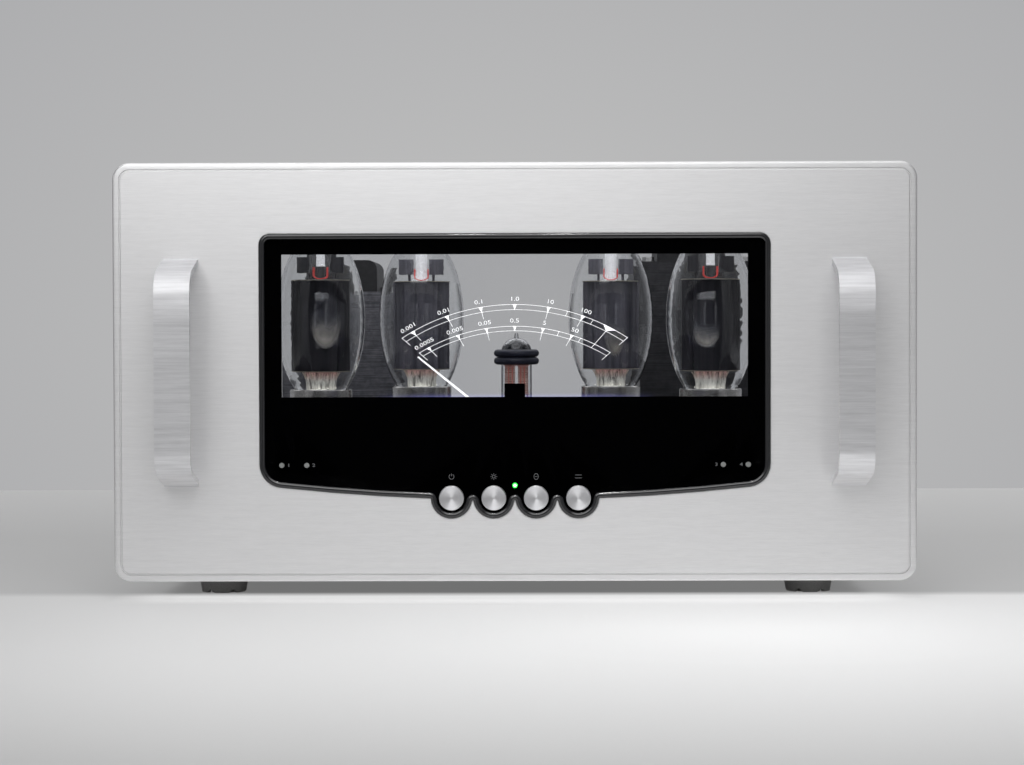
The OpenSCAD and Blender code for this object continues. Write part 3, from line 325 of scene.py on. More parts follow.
# %% [markdown]
# The buttons are turned aluminium. A lathe leaves rings, so the relief comes from the
# distance to each button's own axis, and the light is smeared across the rings.


# %% Turned buttons
def turned(name, centre):
    """Rings about an axis along Y: noise of the distance from that axis. The rings smear
    light outwards from the axis, so a lamp above shows as a bright wedge up and down."""
    made = Finish(name, Metallic=1.0, Anisotropic=0.88)
    rings_per_m = 5200
    ring_in = made.node("CombineXYZ", X=made.times(made.reach((1, 0, 1), centre), rings_per_m))
    rings = made.node("TexNoise", Vector=ring_in.outputs[0], Scale=1.0).outputs["Fac"]
    made.put("Base Color", made.ramp(rings, (0.66, 0.66, 0.675), (0.8, 0.8, 0.815)))
    made.put("Roughness", made.ramp(rings, 0.5, 0.42))
    made.put("Tangent", made.where((1, 0, 1), centre))
    made.relief(rings, 0.01, 0.3)
    return made


BUTTONS = ("power_button", "light_button", "monitor_button", "mode_button")
for button in BUTTONS:
    dress(turned("turned_" + button, place([middle(button)])[0]), button)
print("buttons", len(BUTTONS))

# %% [markdown]
# Sheet metal, rubber, plastics and plated metal: each has a fine grain of its own size.


# %% Plain finishes
def grainy(name, dark, light, size, rough, relief_mm=0.0, metal=0.0):
    """A finish with one grain that moves its colour, gloss and relief together."""
    made = Finish(name, Metallic=metal)
    fac = made.noise((size,) * 3)
    made.put("Base Color", made.ramp(fac, dark, light))
    made.put("Roughness", made.ramp(fac, rough * 1.12, rough * 0.88))
    if relief_mm:
        made.relief(fac, relief_mm, 0.5)
    return made


TUBES = range(1, 5)
BLACK_FITTINGS = ["mains_inlet", "fuse_holder", "fuse_cap", "trigger_socket"]
BLACK_FITTINGS += [f"post_nut_{i}" for i in range(1, 5)]
# Name, two colours, grain per metre, roughness, relief in mm, metal, and the nodes.
PLAIN = (
    ("dark_sheet", (0.035, 0.035, 0.04), (0.055, 0.055, 0.06), 1400, 0.5, 0.05, 0.0,
     ("clamp_frame", "chassis_shell", "bottom_plate")),
    ("zinc_screw", (0.5, 0.5, 0.5), (0.66, 0.66, 0.65), 700, 0.35, 0.0, 1.0,
     ("front_screws", "case_screws", "core_bolts")),
    ("movement_case", (0.03, 0.03, 0.033), (0.05, 0.05, 0.055), 900, 0.55, 0.03, 0.0,
     ("meter_movement",)),
    ("switch_body", (0.02, 0.02, 0.022), (0.035, 0.035, 0.038), 900, 0.5, 0.03, 0.0,
     ("button_switches",)),
    ("foot_rubber", (0.4, 0.392, 0.382), (0.52, 0.51, 0.495), 1200, 0.7, 0.06, 0.0,
     ("feet",)),
    ("ceramic", (0.74, 0.72, 0.66), (0.84, 0.82, 0.77), 300, 0.3, 0.02, 0.0,
     ("tube_sockets", "driver_socket")),
    ("tube_base", (0.42, 0.415, 0.4), (0.62, 0.61, 0.59), 260, 0.24, 0.0, 0.9,
     [f"tube_{i}_base" for i in TUBES]),
    ("damper_rubber", (0.022, 0.024, 0.042), (0.036, 0.039, 0.064), 1000, 0.38, 0.03, 0.0,
     ("tube_damper",)),
    ("coil_wrap", (0.008, 0.008, 0.009), (0.018, 0.018, 0.02), 260, 0.5, 0.15, 0.0,
     ("power_coil", "output_coil")),
    ("capacitor_sleeve", (0.012, 0.02, 0.07), (0.02, 0.03, 0.1), 200, 0.3, 0.0, 0.0,
     ("filter_capacitors",)),
    ("black_connector", (0.018, 0.018, 0.02), (0.03, 0.03, 0.033), 900, 0.42, 0.03, 0.0,
     BLACK_FITTINGS),
    ("nickel", (0.58, 0.56, 0.53), (0.72, 0.7, 0.67), 800, 0.28, 0.0, 1.0,
     ("balanced_input", "input_switch", "switch_lever")),
    ("gold_plate", (0.72, 0.5, 0.18), (0.86, 0.64, 0.27), 800, 0.25, 0.0, 1.0,
     ("phono_input", "speaker_posts")),
    ("circuit_board", (0.012, 0.11, 0.045), (0.02, 0.17, 0.075), 350, 0.4, 0.04, 0.0,
     ("control_board", "main_board")),
)
for *look, dressed in PLAIN:
    dress(grainy(*look), *dressed)
print("plain finishes", len(PLAIN))

# %% [markdown]
# The transformer cores and the anodes have a pattern with a direction: flat iron sheets,
# and upright lighter streaks on the anodes, which are painted highlights. Each core, and
# each pair of anodes, is also made lighter or darker by a factor of its own: painted
# light and shade.


# %% Cores, anodes and bulbs
def toned(painted_light_factor, *colours):
    """Colours made lighter or darker by one factor: painted light or shade."""
    return [tuple(painted_light_factor * c for c in colour) for colour in colours]


def core_iron(name, painted_light_factor):
    """Stacked iron sheets under dark lacquer: flat layers, and blots that break them up."""
    made = Finish(name, Metallic=0.2)
    sheets = made.noise((30, 30, 1900), 2.0)
    blots = made.noise((120, 120, 120), 5.0, 0.7)
    dark, pale = toned(painted_light_factor, (0.02, 0.02, 0.023), (0.07, 0.07, 0.078))
    made.put("Base Color", made.ramp(made.times(sheets, blots), dark, pale, 0.15, 0.4))
    made.put("Roughness", made.ramp(blots, 0.55, 0.35))
    made.relief(sheets, 0.15, 0.6)
    return made


def anode_sheet(name, painted_light_factor):
    """Blackened sheet, a little shiny, with upright lighter streaks: painted highlights."""
    made = Finish(name, Metallic=0.55)
    painted_streak_highlights = made.noise((260, 260, 9), 4.0)
    dark, pale = toned(painted_light_factor, (0.022, 0.0215, 0.027), (0.066, 0.064, 0.076))
    made.put("Base Color", made.ramp(painted_streak_highlights, dark, pale))
    made.put("Roughness", made.ramp(painted_streak_highlights, 0.55, 0.4))
    return made


# Painted light and shade: the power core is made much lighter and the output core a little darker,
# and the inner anodes much lighter than the outer ones.
dress(core_iron("power_iron", 3.4), "power_core")
dress(core_iron("output_iron", 0.85), "output_core")
dress(anode_sheet("outer_anode", 1.0), "tube_1_electrodes", "tube_4_electrodes")
dress(anode_sheet("inner_anode", 3.3), "tube_2_electrodes", "tube_3_electrodes")

# The driver's anodes glow a little red: a painted glow of the heaters' light.
driver_anode_glow = Finish("driver_anode_painted_glow", Metallic=0.3, Roughness=0.45)
mesh_rows = driver_anode_glow.noise((60, 60, 900), 2.0)
driver_anode_glow.put("Base Color", driver_anode_glow.ramp(mesh_rows, (0.3, 0.21, 0.2), (0.72, 0.56, 0.52)))
driver_anode_glow.put("Emission Color", driver_anode_glow.ramp(mesh_rows, (0.3, 0.06, 0.04), (0.8, 0.3, 0.22)))
driver_anode_glow.put("Emission Strength", 0.1)
dress(driver_anode_glow, "driver_electrodes")

BULBS = [f"tube_{i}_bulb" for i in TUBES] + ["driver_bulb"]
dress(clear("tube_glass", 1.46, 25, (0.95, 0.96, 0.965), (0.985, 0.99, 0.99), 2.0), *BULBS)
for name in BULBS + ["window_glass", "scale_plate"]:
    nodes[name].visible_shadow = False
print("bulbs", len(BULBS))

# %% [markdown]
# Lamps and needle give light of their own. The power lamp is lit green, most at its
# front; the four tube lamps are off, with a faint painted glow; the needle is white and
# catches the scale's light.


# %% Lit finishes
def lit(name, colour, strength, size=400):
    """A surface that glows, a little unevenly."""
    made = Finish(name, Roughness=0.35)
    fac = made.noise((size,) * 3, 2.0)
    dim = tuple(c * 0.8 for c in colour)
    made.put("Base Color", made.ramp(fac, dim, colour))
    made.put("Emission Color", made.ramp(fac, dim, colour))
    made.put("Emission Strength", strength)
    return made


LAMP_AT = place([middle("power_lamp")])[0]
green = Finish("green_lamp", Roughness=0.3)
off_axis = green.reach((400, 0, 400), LAMP_AT)
green.put("Base Color", green.ramp(off_axis, (0.6, 1.0, 0.6), (0.02, 0.7, 0.05), 0.15, 0.5))
green.put("Emission Color", green.ramp(off_axis, (0.75, 1.0, 0.78), (0.0, 0.5, 0.02), 0.12, 0.48))
lamp_ends = PLATE_FRONT + 0.001, PLATE_FRONT + 0.006
green.put("Emission Strength", green.between(green.axis("Y"), *lamp_ends, 3.0, 0.25))
dress(green, "power_lamp")
dress(lit("pale_lamp", (0.27, 0.28, 0.275), 0.1), "tube_lamps")
dress(lit("white_needle", (1.0, 1.0, 1.0), 0.9), "meter_pointer")
print("lit finishes ready")

# %% [markdown]
# The stage: a pale table and a grey wall behind. The wall's grey is its own colour for
# the eye, so the lamps are free to light the amplifier at a plain level.


# %% Stage helpers
def add_mesh(name, verts, faces, finish):
    """A mesh object at the origin from points in metres and faces."""
    mesh = bpy.data.meshes.new(name)
    mesh.from_pydata(np.asarray(verts, float).tolist(), [], [list(map(int, f)) for f in faces])
    mesh.validate()
    obj = bpy.data.objects.new(name, mesh)
    bpy.context.scene.collection.objects.link(obj)
    mesh.materials.append(finish.mat)
    return obj


def grid_faces(rows, cols, wrap=False):
    """Quads of a grid of rows by cols points; wrap joins the last column to the first."""
    r, c = np.meshgrid(np.arange(rows - 1), np.arange(cols if wrap else cols - 1), indexing="ij")
    here, there = r * cols + c, r * cols + (c + 1) % cols
    return np.stack([here, there, there + cols, here + cols], -1).reshape(-1, 4)


def shown_light(finish):
    """1 for rays that see the surface, and 0 for rays that it would light."""
    path = finish.tree.nodes.new("ShaderNodeLightPath").outputs
    seen = finish.sum(path["Is Camera Ray"], path["Is Transmission Ray"], "MAXIMUM")
    return finish.sum(seen, path["Is Glossy Ray"], "MAXIMUM")


def two_tone(finish, fac, a, b):
    """From colour a to colour b as a number goes from 0 to 1."""
    made = finish.tree.nodes.new("ShaderNodeMixRGB")
    for socket, value in zip(made.inputs, (fac, a, b)):
        if isinstance(value, bpy.types.NodeSocket):
            finish.tree.links.new(value, socket)
        else:
            socket.default_value = (*value, 1)
    return made.outputs[0]


# %% [markdown]
# The table has a painted pool of light in front and is greyer from the plate's line
# backwards. Below the plate's edge a painted fill light cancels the plate's shadow, so it
# is as bright as further out, and it is painted a little lighter towards the plate.
# Behind the amplifier it pales towards its far end, with painted shade right under the
# amplifier and painted light on its right, where its shadow falls. The near half is for
# the camera alone.

# %% Table
TABLE_X, TABLE_FRONT, TABLE_BACK = 3.0, PLATE_FRONT - 0.6, PLATE_FRONT + 1.0
table = Finish("table", Roughness=0.6)
painted_pool_reach = table.reach((0.85, 1, 0), (0.13, PLATE_FRONT - 0.15, 0))
painted_pool = table.ramp(painted_pool_reach, 0.71, 0.17, 0.02, 0.64)
depth = table.axis("Y")
across = table.axis("X")
behind = table.between(depth, PLATE_FRONT + 0.028, PLATE_FRONT + 0.052)
table.put("Base Color", two_tone(table, behind, painted_pool, (0.3, 0.3, 0.3)))
# Painted light and shade: the fill, the shade under the amplifier and the light on its right side.
under_plate = table.between(table.sum(across, 0.0, "ABSOLUTE"), 0.245, 0.205)
below = table.times(table.between(depth, PLATE_FRONT - 0.014, PLATE_FRONT + 0.026), under_plate)
ahead = table.sum(table.between(depth, PLATE_FRONT - 0.2, PLATE_FRONT + 0.03), 2.0, "POWER")
painted_fill = table.sum(table.times(below, 0.4), table.times(ahead, 0.075))
painted_fill = table.sum(painted_fill, table.times(painted_pool, 0.53))
rear_painted_light = table.sum(table.times(under_plate, -0.02), 0.18)
rear_painted_light = table.sum(rear_painted_light, table.times(table.between(across, 0.0, 0.3), 0.035))
rear_painted_light = table.sum(rear_painted_light, table.times(table.between(depth, PLATE_FRONT + 0.45, TABLE_BACK), 0.09))
table.put("Emission Color", two_tone(table, behind, painted_fill, rear_painted_light))
table.put("Emission Strength", shown_light(table))
floor_x, floor_y = np.meshgrid([-TABLE_X, TABLE_X], [TABLE_FRONT, TABLE_BACK], indexing="xy")
floor_points = np.stack([floor_x, floor_y, 0 * floor_x], -1).reshape(-1, 3)
add_mesh("table_top", floor_points, grid_faces(2, 2), table)
near_points = floor_points - [0, TABLE_BACK - TABLE_FRONT, 0]
table_near = add_mesh("table_near", near_points, grid_faces(2, 2), table)
table_near.visible_diffuse = table_near.visible_glossy = table_near.visible_shadow = False
print("table from", TABLE_FRONT, "to", TABLE_BACK)

# %% [markdown]
# The wall is palest behind the amplifier: a painted pool of light. Its pattern was set
# out at 1.6 m, and is scaled from the camera's place to the wall's real distance, which
# leaves room for views from behind.

# %% Wall
WALL_Y, PATTERN_Y, PATTERN_Z = 6.0, 1.6, 0.2
WALL_X, WALL_LOW, WALL_HIGH = 19.0, -5.6, 15.0
eye_x, eye_y, eye_z = camera_place
wall_scale = (WALL_Y - eye_y) / (PATTERN_Y - eye_y)
wall_middle = (eye_x * (1 - wall_scale), 0, eye_z + (PATTERN_Z - eye_z) * wall_scale)
wall = Finish("wall", Roughness=1.0)
wall_reach = wall.reach((1 / wall_scale, 0, 1.6 / wall_scale), wall_middle)
wall.put("Base Color", (0.02, 0.02, 0.02))
wall_grey_painted_light = wall.ramp(wall_reach, (0.497, 0.497, 0.498), (0.408, 0.41, 0.42), 0.15, 1.0)
wall.put("Emission Color", wall_grey_painted_light)
wall.put("Emission Strength", shown_light(wall))
wall_x, wall_z = np.meshgrid([-WALL_X, WALL_X], [WALL_LOW, WALL_HIGH], indexing="xy")
wall_points = np.stack([wall_x, 0 * wall_x + WALL_Y, wall_z], -1).reshape(-1, 3)
add_mesh("wall", wall_points, grid_faces(2, 2), wall)
print("wall at", WALL_Y)

# %% [markdown]
# Broad lamps stand low in front, so that the plate's face and rim get about the same
# light. Two small spots make the bright points on the bezel.


# %% Lamps
def softbox(name, at, aim, size, watts):
    """A rectangular lamp at a place in metres that faces another place."""
    data = bpy.data.lights.new(name, "AREA")
    data.shape = "RECTANGLE"
    data.size, data.size_y = size
    data.energy = watts
    obj = bpy.data.objects.new(name, data)
    bpy.context.scene.collection.objects.link(obj)
    obj.location = at
    obj.rotation_euler = (Vector(at) - Vector(aim)).to_track_quat("Z", "Y").to_euler()


# Name, place, aim, size and watts.
LAMPS = [
    ("front_key", (-0.27, -1.6, 0.82), (-0.05, -0.22, 0.2), (1.1, 0.6), 3.0),
    ("top_key", (-0.12, -0.85, 0.58), (-0.05, -0.22, 0.25), (0.8, 0.4), 1.36),
    ("overhead", (-0.05, -1.0, 1.8), (0, -0.45, 0), (2.2, 1.4), 8.0),
    ("above_tubes", (0, 0.6, 1.5), (0, 0, 0.1), (2.6, 1.8), 12.5),
]
for x in (-0.045, 0.036):
    LAMPS.append(("ceiling_spot", (x, -0.75, 0.75), (0, -0.22, 0.2), (0.025, 0.025), 0.24))
for x, aim_x in ((-0.42, -0.2), (0.42, 0.2)):
    LAMPS.append(("side_strip", (x, -1.75, 0.16), (aim_x, -0.26, 0.14), (0.16, 0.6), 0.29))
for lamp in LAMPS:
    softbox(*lamp)
glow_data = bpy.data.lights.new("green_glow", "POINT")
glow_data.color, glow_data.energy, glow_data.shadow_soft_size = (0.05, 1.0, 0.1), 0.002, 0.0015
glow = bpy.data.objects.new("green_glow", glow_data)
bpy.context.scene.collection.objects.link(glow)
glow.location = LAMP_AT + np.array([0, -0.012, 0])
print("lamps", len(LAMPS) + 1)

# %% [markdown]
# The room is a dim even light, but dark right behind the camera, as a studio is, so that
# the black glass stays black when it mirrors that way. To the eye the room is as pale
# as the wall.

# %% Room
ROOM_LIGHT, ROOM_DARK = (0.24, 0.24, 0.245, 1), (0.004, 0.004, 0.005, 1)
ROOM_SHOWN = (0.44, 0.44, 0.445, 1)
world = bpy.data.worlds.new("room")
bpy.context.scene.world = world
world.use_nodes = True
room = world.node_tree
heading = room.nodes.new("ShaderNodeSeparateXYZ")
room.links.new(room.nodes.new("ShaderNodeTexCoord").outputs["Generated"], heading.inputs[0])
front = room.nodes.new("ShaderNodeMapRange")
front.interpolation_type = "SMOOTHSTEP"
for key, value in (("From Min", -0.99), ("From Max", -0.94), ("To Min", 0.0), ("To Max", 1.0)):
    front.inputs[key].default_value = value
room.links.new(heading.outputs["Y"], front.inputs["Value"])
light = room.nodes.new("ShaderNodeMixRGB")
light.inputs[1].default_value, light.inputs[2].default_value = ROOM_DARK, ROOM_LIGHT
room.links.new(front.outputs["Result"], light.inputs[0])
shown_room = room.nodes.new("ShaderNodeMixRGB")
shown_room.inputs[2].default_value = ROOM_SHOWN
camera_ray = room.nodes.new("ShaderNodeLightPath").outputs["Is Camera Ray"]
room.links.new(camera_ray, shown_room.inputs[0])
room.links.new(light.outputs[0], shown_room.inputs[1])
room.links.new(shown_room.outputs[0], room.nodes["Background"].inputs["Color"])
print("room ready")

# %% [markdown]
# Fine pieces share three ways of making a surface: a strip of rectangular section
# carried along a flat path, a round wire carried along a path in space, and a profile
# turned about an upright axis. Each gives one grid of points, worked out as arrays.


# %% Shape helpers
def heading_of(path):
    """The direction of a path at each of its points, as a row of length 1."""
    along = np.gradient(path, axis=0)
    return along / np.linalg.norm(along, axis=1, keepdims=True)


def strip(path, width, depth_mm, thick=0.12):
    """A flat path of x, height rows, made a bar: each point moves half the width along
    the path's normal, both ways, at two depths. Gives points and faces, ends closed."""
    path = np.asarray(path, float)
    along = heading_of(path)
    normal = np.stack([-along[:, 1], along[:, 0]], 1) * width / 2
    corners = ((1, 0), (-1, 0), (-1, 1), (1, 1))
    ring = [(path + side * normal, depth_mm + back * thick) for side, back in corners]
    rows = [np.column_stack([xy[:, 0], np.full(len(path), d), xy[:, 1]]) for xy, d in ring]
    points = np.stack(rows, 1)
    faces = [list(f) for f in grid_faces(len(path), 4, True)]
    last = 4 * (len(path) - 1)
    faces += [[3, 2, 1, 0], [last, last + 1, last + 2, last + 3]]
    return points.reshape(-1, 3), faces


def wire(path, radius, sides=8, up=(0.13, 0.97, 0.21)):
    """A round wire: a circle of that radius square to the path at each point."""
    path = np.asarray(path, float)
    along = heading_of(path)
    side = np.cross(along, np.array(up))
    side /= np.linalg.norm(side, axis=1, keepdims=True)
    other = np.cross(along, side)
    turn = np.linspace(0, 2 * np.pi, sides, endpoint=False)[None, :, None]
    points = path[:, None] + radius * (side[:, None] * np.cos(turn) + other[:, None] * np.sin(turn))
    faces = [list(f) for f in grid_faces(len(path), sides, True)]
    last = sides * (len(path) - 1)
    faces += [list(range(sides))[::-1], list(range(last, last + sides))]
    return points.reshape(-1, 3), faces


def turned_form(profile, centre, steps=48):
    """A closed profile of radius, height rows turned about the upright axis at centre."""
    profile = np.asarray(profile, float)
    turn = np.linspace(0, 2 * np.pi, steps, endpoint=False)
    r, h = profile[:, :1], profile[:, 1:]
    points = np.stack([r * np.cos(turn), r * np.sin(turn), h + 0 * turn], -1)
    rows = len(profile)
    lap = grid_faces(2, steps, True)
    close = lap % steps + np.where(lap < steps, (rows - 1) * steps, 0)
    faces = np.vstack([grid_faces(rows, steps, True), close])
    return (points + np.asarray(centre)).reshape(-1, 3), [list(f) for f in faces]


def joined(parts):
    """Several lots of points and faces as one lot."""
    points, faces, start = [], [], 0
    for some, its_faces in parts:
        points.append(some)
        faces += [[start + k for k in f] for f in its_faces]
        start += len(some)
    return np.vstack(points), faces


def piece(name, made, finish, body="amplifier", smooth=None):
    """Puts points in mm into a mesh, outward faces, and lets it ride on a body."""
    points, faces = made
    obj = add_mesh(name, place(points), faces, finish)
    work = bmesh.new()
    work.from_mesh(obj.data)
    bmesh.ops.remove_doubles(work, verts=work.verts, dist=1e-7)
    bmesh.ops.recalc_face_normals(work, faces=work.faces)
    work.to_mesh(obj.data)
    work.free()
    if smooth:
        obj.data.polygons.foreach_set("use_smooth", np.ones(len(obj.data.polygons), bool))
        obj.modifiers.new("edges", "EDGE_SPLIT").split_angle = math.radians(smooth)
    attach(obj, body)


# %% [markdown]
# The meter's scale is printed on the clear plate and lit from its edge. Two arcs share a
# centre far below, but every tick points at the needle's own pivot, so each tick starts
# where a ray from the pivot meets the arc.

# %% Scale
PRINT_T = 0.12
PRINT_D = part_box("scale_plate")[0].y * 1000 - PLATE_Y - PRINT_T - 0.02
PIVOT = np.array([0.0, -38.1])
ARC_CENTRE = np.array([0.0, -83.8])
# Radius of each arc, and its distance from the thinner line inside it.
UPPER, LOWER = (124.3, 3.1), (111.2, 2.75)
TICKS = np.array([-44.7, -29.8, -15.0, 0.0, 15.0, 30.0])
SHORT_TICKS = (0.0, 23.2, 34.4)
END, HIGH_ZONE = 49.3, 41.4
LINE = 0.31


def on_arc(degrees, radius):
    """Where a ray from the pivot at that angle from upright meets the arc: the far root
    of a quadratic in the distance along the ray."""
    a = np.radians(np.atleast_1d(degrees))
    ray = np.stack([np.sin(a), np.cos(a)], 1)
    apart = PIVOT - ARC_CENTRE
    half = ray @ apart
    far = -half + np.sqrt(half**2 - (apart @ apart - radius**2))
    return PIVOT + far[:, None] * ray


def ray_line(degrees, radius, start, end):
    """A straight run along the ray, from start to end mm beyond the arc."""
    a = math.radians(degrees)
    ray = np.array([math.sin(a), math.cos(a)])
    return on_arc(degrees, radius)[0] + np.outer([start, end], ray)


def wedge(degrees, radius, half_angle, tall):
    """A small filled triangle that hangs from the arc and narrows inwards."""
    top = on_arc([degrees - half_angle, degrees + half_angle], radius)
    flat = np.vstack([top, ray_line(degrees, radius, -tall, -tall)[:1]])
    face = np.column_stack([flat[:, 0], np.full(3, PRINT_D), flat[:, 1]])
    faces = [[0, 1, 2], [5, 4, 3], [0, 3, 4, 1], [1, 4, 5, 2], [2, 5, 3, 0]]
    return np.vstack([face, face + np.array([0, PRINT_T, 0])]), faces


def line(path, width=LINE):
    """A printed line on the scale."""
    return strip(path, width, PRINT_D, PRINT_T)


scale_parts = []
sweep_deg = np.linspace(-END, END, 97)
for radius, gap in (UPPER, LOWER):
    scale_parts.append(line(on_arc(sweep_deg, radius)))
    scale_parts.append(line(on_arc(sweep_deg, radius - gap), LINE * 0.9))
    scale_parts += [line(ray_line(a, radius, 0.2, -7.4)) for a in TICKS if a]
    scale_parts += [wedge(a, radius, 0.9, gap) for a in TICKS]
    scale_parts += [line(ray_line(a, radius, 0, -gap)) for a in SHORT_TICKS]
    scale_parts += [line(ray_line(a, radius, 0.25, -6.6)) for a in (-END, END)]
zone_ends = on_arc(HIGH_ZONE, UPPER[0])[0], on_arc(HIGH_ZONE, LOWER[0] - LOWER[1])[0]
scale_parts.append(line(np.stack(zone_ends)))
scale_parts.append(wedge(HIGH_ZONE, UPPER[0], 2.6, UPPER[1]))
scale_ink = lit("scale_ink", (1.0, 1.0, 1.0), 0.85, 900)
piece("scale_lines", joined(scale_parts), scale_ink)
print("scale lines", len(scale_parts))

# %% [markdown]
# Plain numbers stand on the ticks, turned to follow the arc. A text object is made a
# mesh first; its flat points are then turned and put in place like any other points.

# %% Numbers
LETTER_W, LETTER_H, LETTER_T = 1.9, 1.4, 0.02
NUMBERS = {UPPER: ("0.001", "0.01", "0.1", "1.0", "10", "100"),
           LOWER: ("0.0005", "0.005", "0.05", "0.5", "5", "50")}
NUMBER_TALL, NUMBER_LIFT = 2.5, 3.3


def letters(text, tall, at, degrees, depth_mm):
    """Text of that height in mm, centred at x, height, turned clockwise by degrees."""
    curve = bpy.data.curves.new("letters", "FONT")
    curve.body = text
    curve.size = 1.0
    curve.align_x = "CENTER"
    curve.align_y = "CENTER"
    curve.extrude = LETTER_T
    curve.resolution_u = 3
    holder = bpy.data.objects.new("letters", curve)
    mesh = bpy.data.meshes.new_from_object(holder)
    flat = np.zeros(len(mesh.vertices) * 3)
    mesh.vertices.foreach_get("co", flat)
    flat = flat.reshape(-1, 3) * np.array([tall * LETTER_W, tall * LETTER_H, 1])
    faces = [list(f.vertices) for f in mesh.polygons]
    bpy.data.objects.remove(holder)
    bpy.data.meshes.remove(mesh)
    bpy.data.curves.remove(curve)
    a = math.radians(degrees)
    x = flat[:, 0] * math.cos(a) + flat[:, 1] * math.sin(a) + at[0]
    v = -flat[:, 0] * math.sin(a) + flat[:, 1] * math.cos(a) + at[1]
    return np.column_stack([x, depth_mm - flat[:, 2], v]), faces


number_parts = []
for (radius, _), texts in NUMBERS.items():
    for angle, text in zip(TICKS, texts):
        spot = on_arc(angle, radius + NUMBER_LIFT)[0]
        lean = math.degrees(math.atan2(spot[0], spot[1] - ARC_CENTRE[1]))
        number_parts.append(letters(text, NUMBER_TALL, spot, lean, PRINT_D))
piece("scale_numbers", joined(number_parts), scale_ink)
print("numbers", len(number_parts))

# %% [markdown]
# Inside each power tube the solids give the anode. These pieces add what shows beside
# it: mica spacers that hold the works in the bulb, a red-hot heater loop, the white
# ceramic column, the lead wires that fan up from the stem, and the thin metal film that
# the getter leaves on the inside of the glass.

# %% Tube finishes
STEM_H, STEM_RED_GLOW = 10.9, 4.5
TUBE_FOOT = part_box("tube_1_base")[1].z * 1000
mica = grainy("mica", (0.42, 0.38, 0.3), (0.62, 0.57, 0.47), 500, 0.4)
heat = lit("red_heat", (0.7, 0.03, 0.02), 0.45, 900)
# The column, the lead wires and the driver's grid wires glow a little: painted light in place of
# lamp light inside the bulbs.
white_column_painted_glow = lit("white_column_painted_glow", (0.84, 0.84, 0.85), 0.62, 500)
lead_painted_glow = lit("lead_wire", (0.9, 0.8, 0.68), 0.08, 700)
dome_dark = grainy("driver_dome", (0.008, 0.009, 0.014), (0.016, 0.018, 0.026), 300, 0.12)
pale_heat = lit("pale_heat", (0.5, 0.17, 0.14), 0.3, 900)
# The stem ring glows brightly: a painted glint.
stem_ring_painted_glint = lit("stem_ring", (1.0, 0.97, 0.88), 1.0, 300)
# A dark sheet for painted shade behind the column of the outer tubes.
painted_shade = grainy("painted_shade_plate", (0.022, 0.022, 0.026), (0.045, 0.044, 0.05), 300, 0.5)
stem_lines = Finish("stem_lines")
tangle = stem_lines.noise((520, 520, 90), 4.0, 0.75)
stem_pale = stem_lines.ramp(tangle, (0.1, 0.09, 0.09), (0.93, 0.91, 0.85), 0.36, 0.54)
stem_lines.put("Base Color", stem_pale)
stem_lines.put("Roughness", stem_lines.ramp(tangle, 0.5, 0.2))
# The pale strands glow, redder towards the top: painted light from the heaters.
red_glow_heights = (TUBE_FOOT + STEM_RED_GLOW) / 1000, (TUBE_FOOT + STEM_H) / 1000
red_glow_top = stem_lines.between(stem_lines.axis("Z"), *red_glow_heights)
stem_glow_tint = stem_lines.ramp(red_glow_top, (0.9, 0.9, 0.82), (0.95, 0.42, 0.36), 0.1, 0.9)
stem_lines.put("Emission Color", stem_glow_tint)
stem_lines.put("Emission Strength", stem_lines.ramp(tangle, 0.03, 0.26, 0.36, 0.54))
stem_lines.relief(tangle, 0.3, 0.6)
print("tube finishes ready")

# %% Tube shapes
ANODE_FOOT, ANODE_H = 11.8, 57.3
ANODE_TOP = ANODE_FOOT + ANODE_H
BULB_R, BULB_MID, BULB_HALF, BULB_WALL = 28.3, 45.0, 55.8, 1.2
MICA_IN, MICA_R, MICA_T, MICA_NOTCH, MICA_STEPS = 16.02, 18.2, 0.5, 0.5, 96
LOOP_HALF, LOOP_DROP, LOOP_TOP, LOOP_FOOT, LOOP_WIRE = 4.4, 2.2, 8.5, 3.4, 0.32


def bulb_inside(h):
    """The radius of the bulb's inner wall at a height above the base: an ellipse."""
    up = (h - BULB_MID) / (BULB_HALF - BULB_WALL)
    return (BULB_R - BULB_WALL) * np.sqrt(1 - up**2)


def mica_disc(centre, h):
    """A thin ring, notched round its edge by a cosine of eight times the angle."""
    turn = np.linspace(0, 2 * np.pi, MICA_STEPS, endpoint=False)
    outside = MICA_R + MICA_NOTCH * np.tanh(6 * np.cos(8 * turn))
    inside = MICA_IN + 0 * turn
    rows = [(inside, h), (outside, h), (outside, h + MICA_T), (inside, h + MICA_T)]
    points = [np.stack([r * np.cos(turn), r * np.sin(turn), 0 * turn + z], -1) for r, z in rows]
    here = np.arange(MICA_STEPS)
    after = (here + 1) % MICA_STEPS
    top = 3 * MICA_STEPS
    close = np.stack([here + top, after + top, after, here], -1)
    faces = np.vstack([grid_faces(4, MICA_STEPS, True), close])
    return (np.stack(points) + np.asarray(centre)).reshape(-1, 3), [list(f) for f in faces]


def heater_loop(centre, y):
    """A U of wire: straight down, half round and up again."""
    turn = np.linspace(np.pi, 2 * np.pi, 13)
    round_h = LOOP_DROP * np.sin(turn) + ANODE_TOP + LOOP_FOOT
    bend = np.column_stack([LOOP_HALF * np.cos(turn), 0 * turn + y, round_h])
    top = ANODE_TOP + LOOP_TOP
    path = np.vstack([[-LOOP_HALF, y, top], bend, [LOOP_HALF, y, top]])
    return wire(path + np.asarray(centre), LOOP_WIRE)


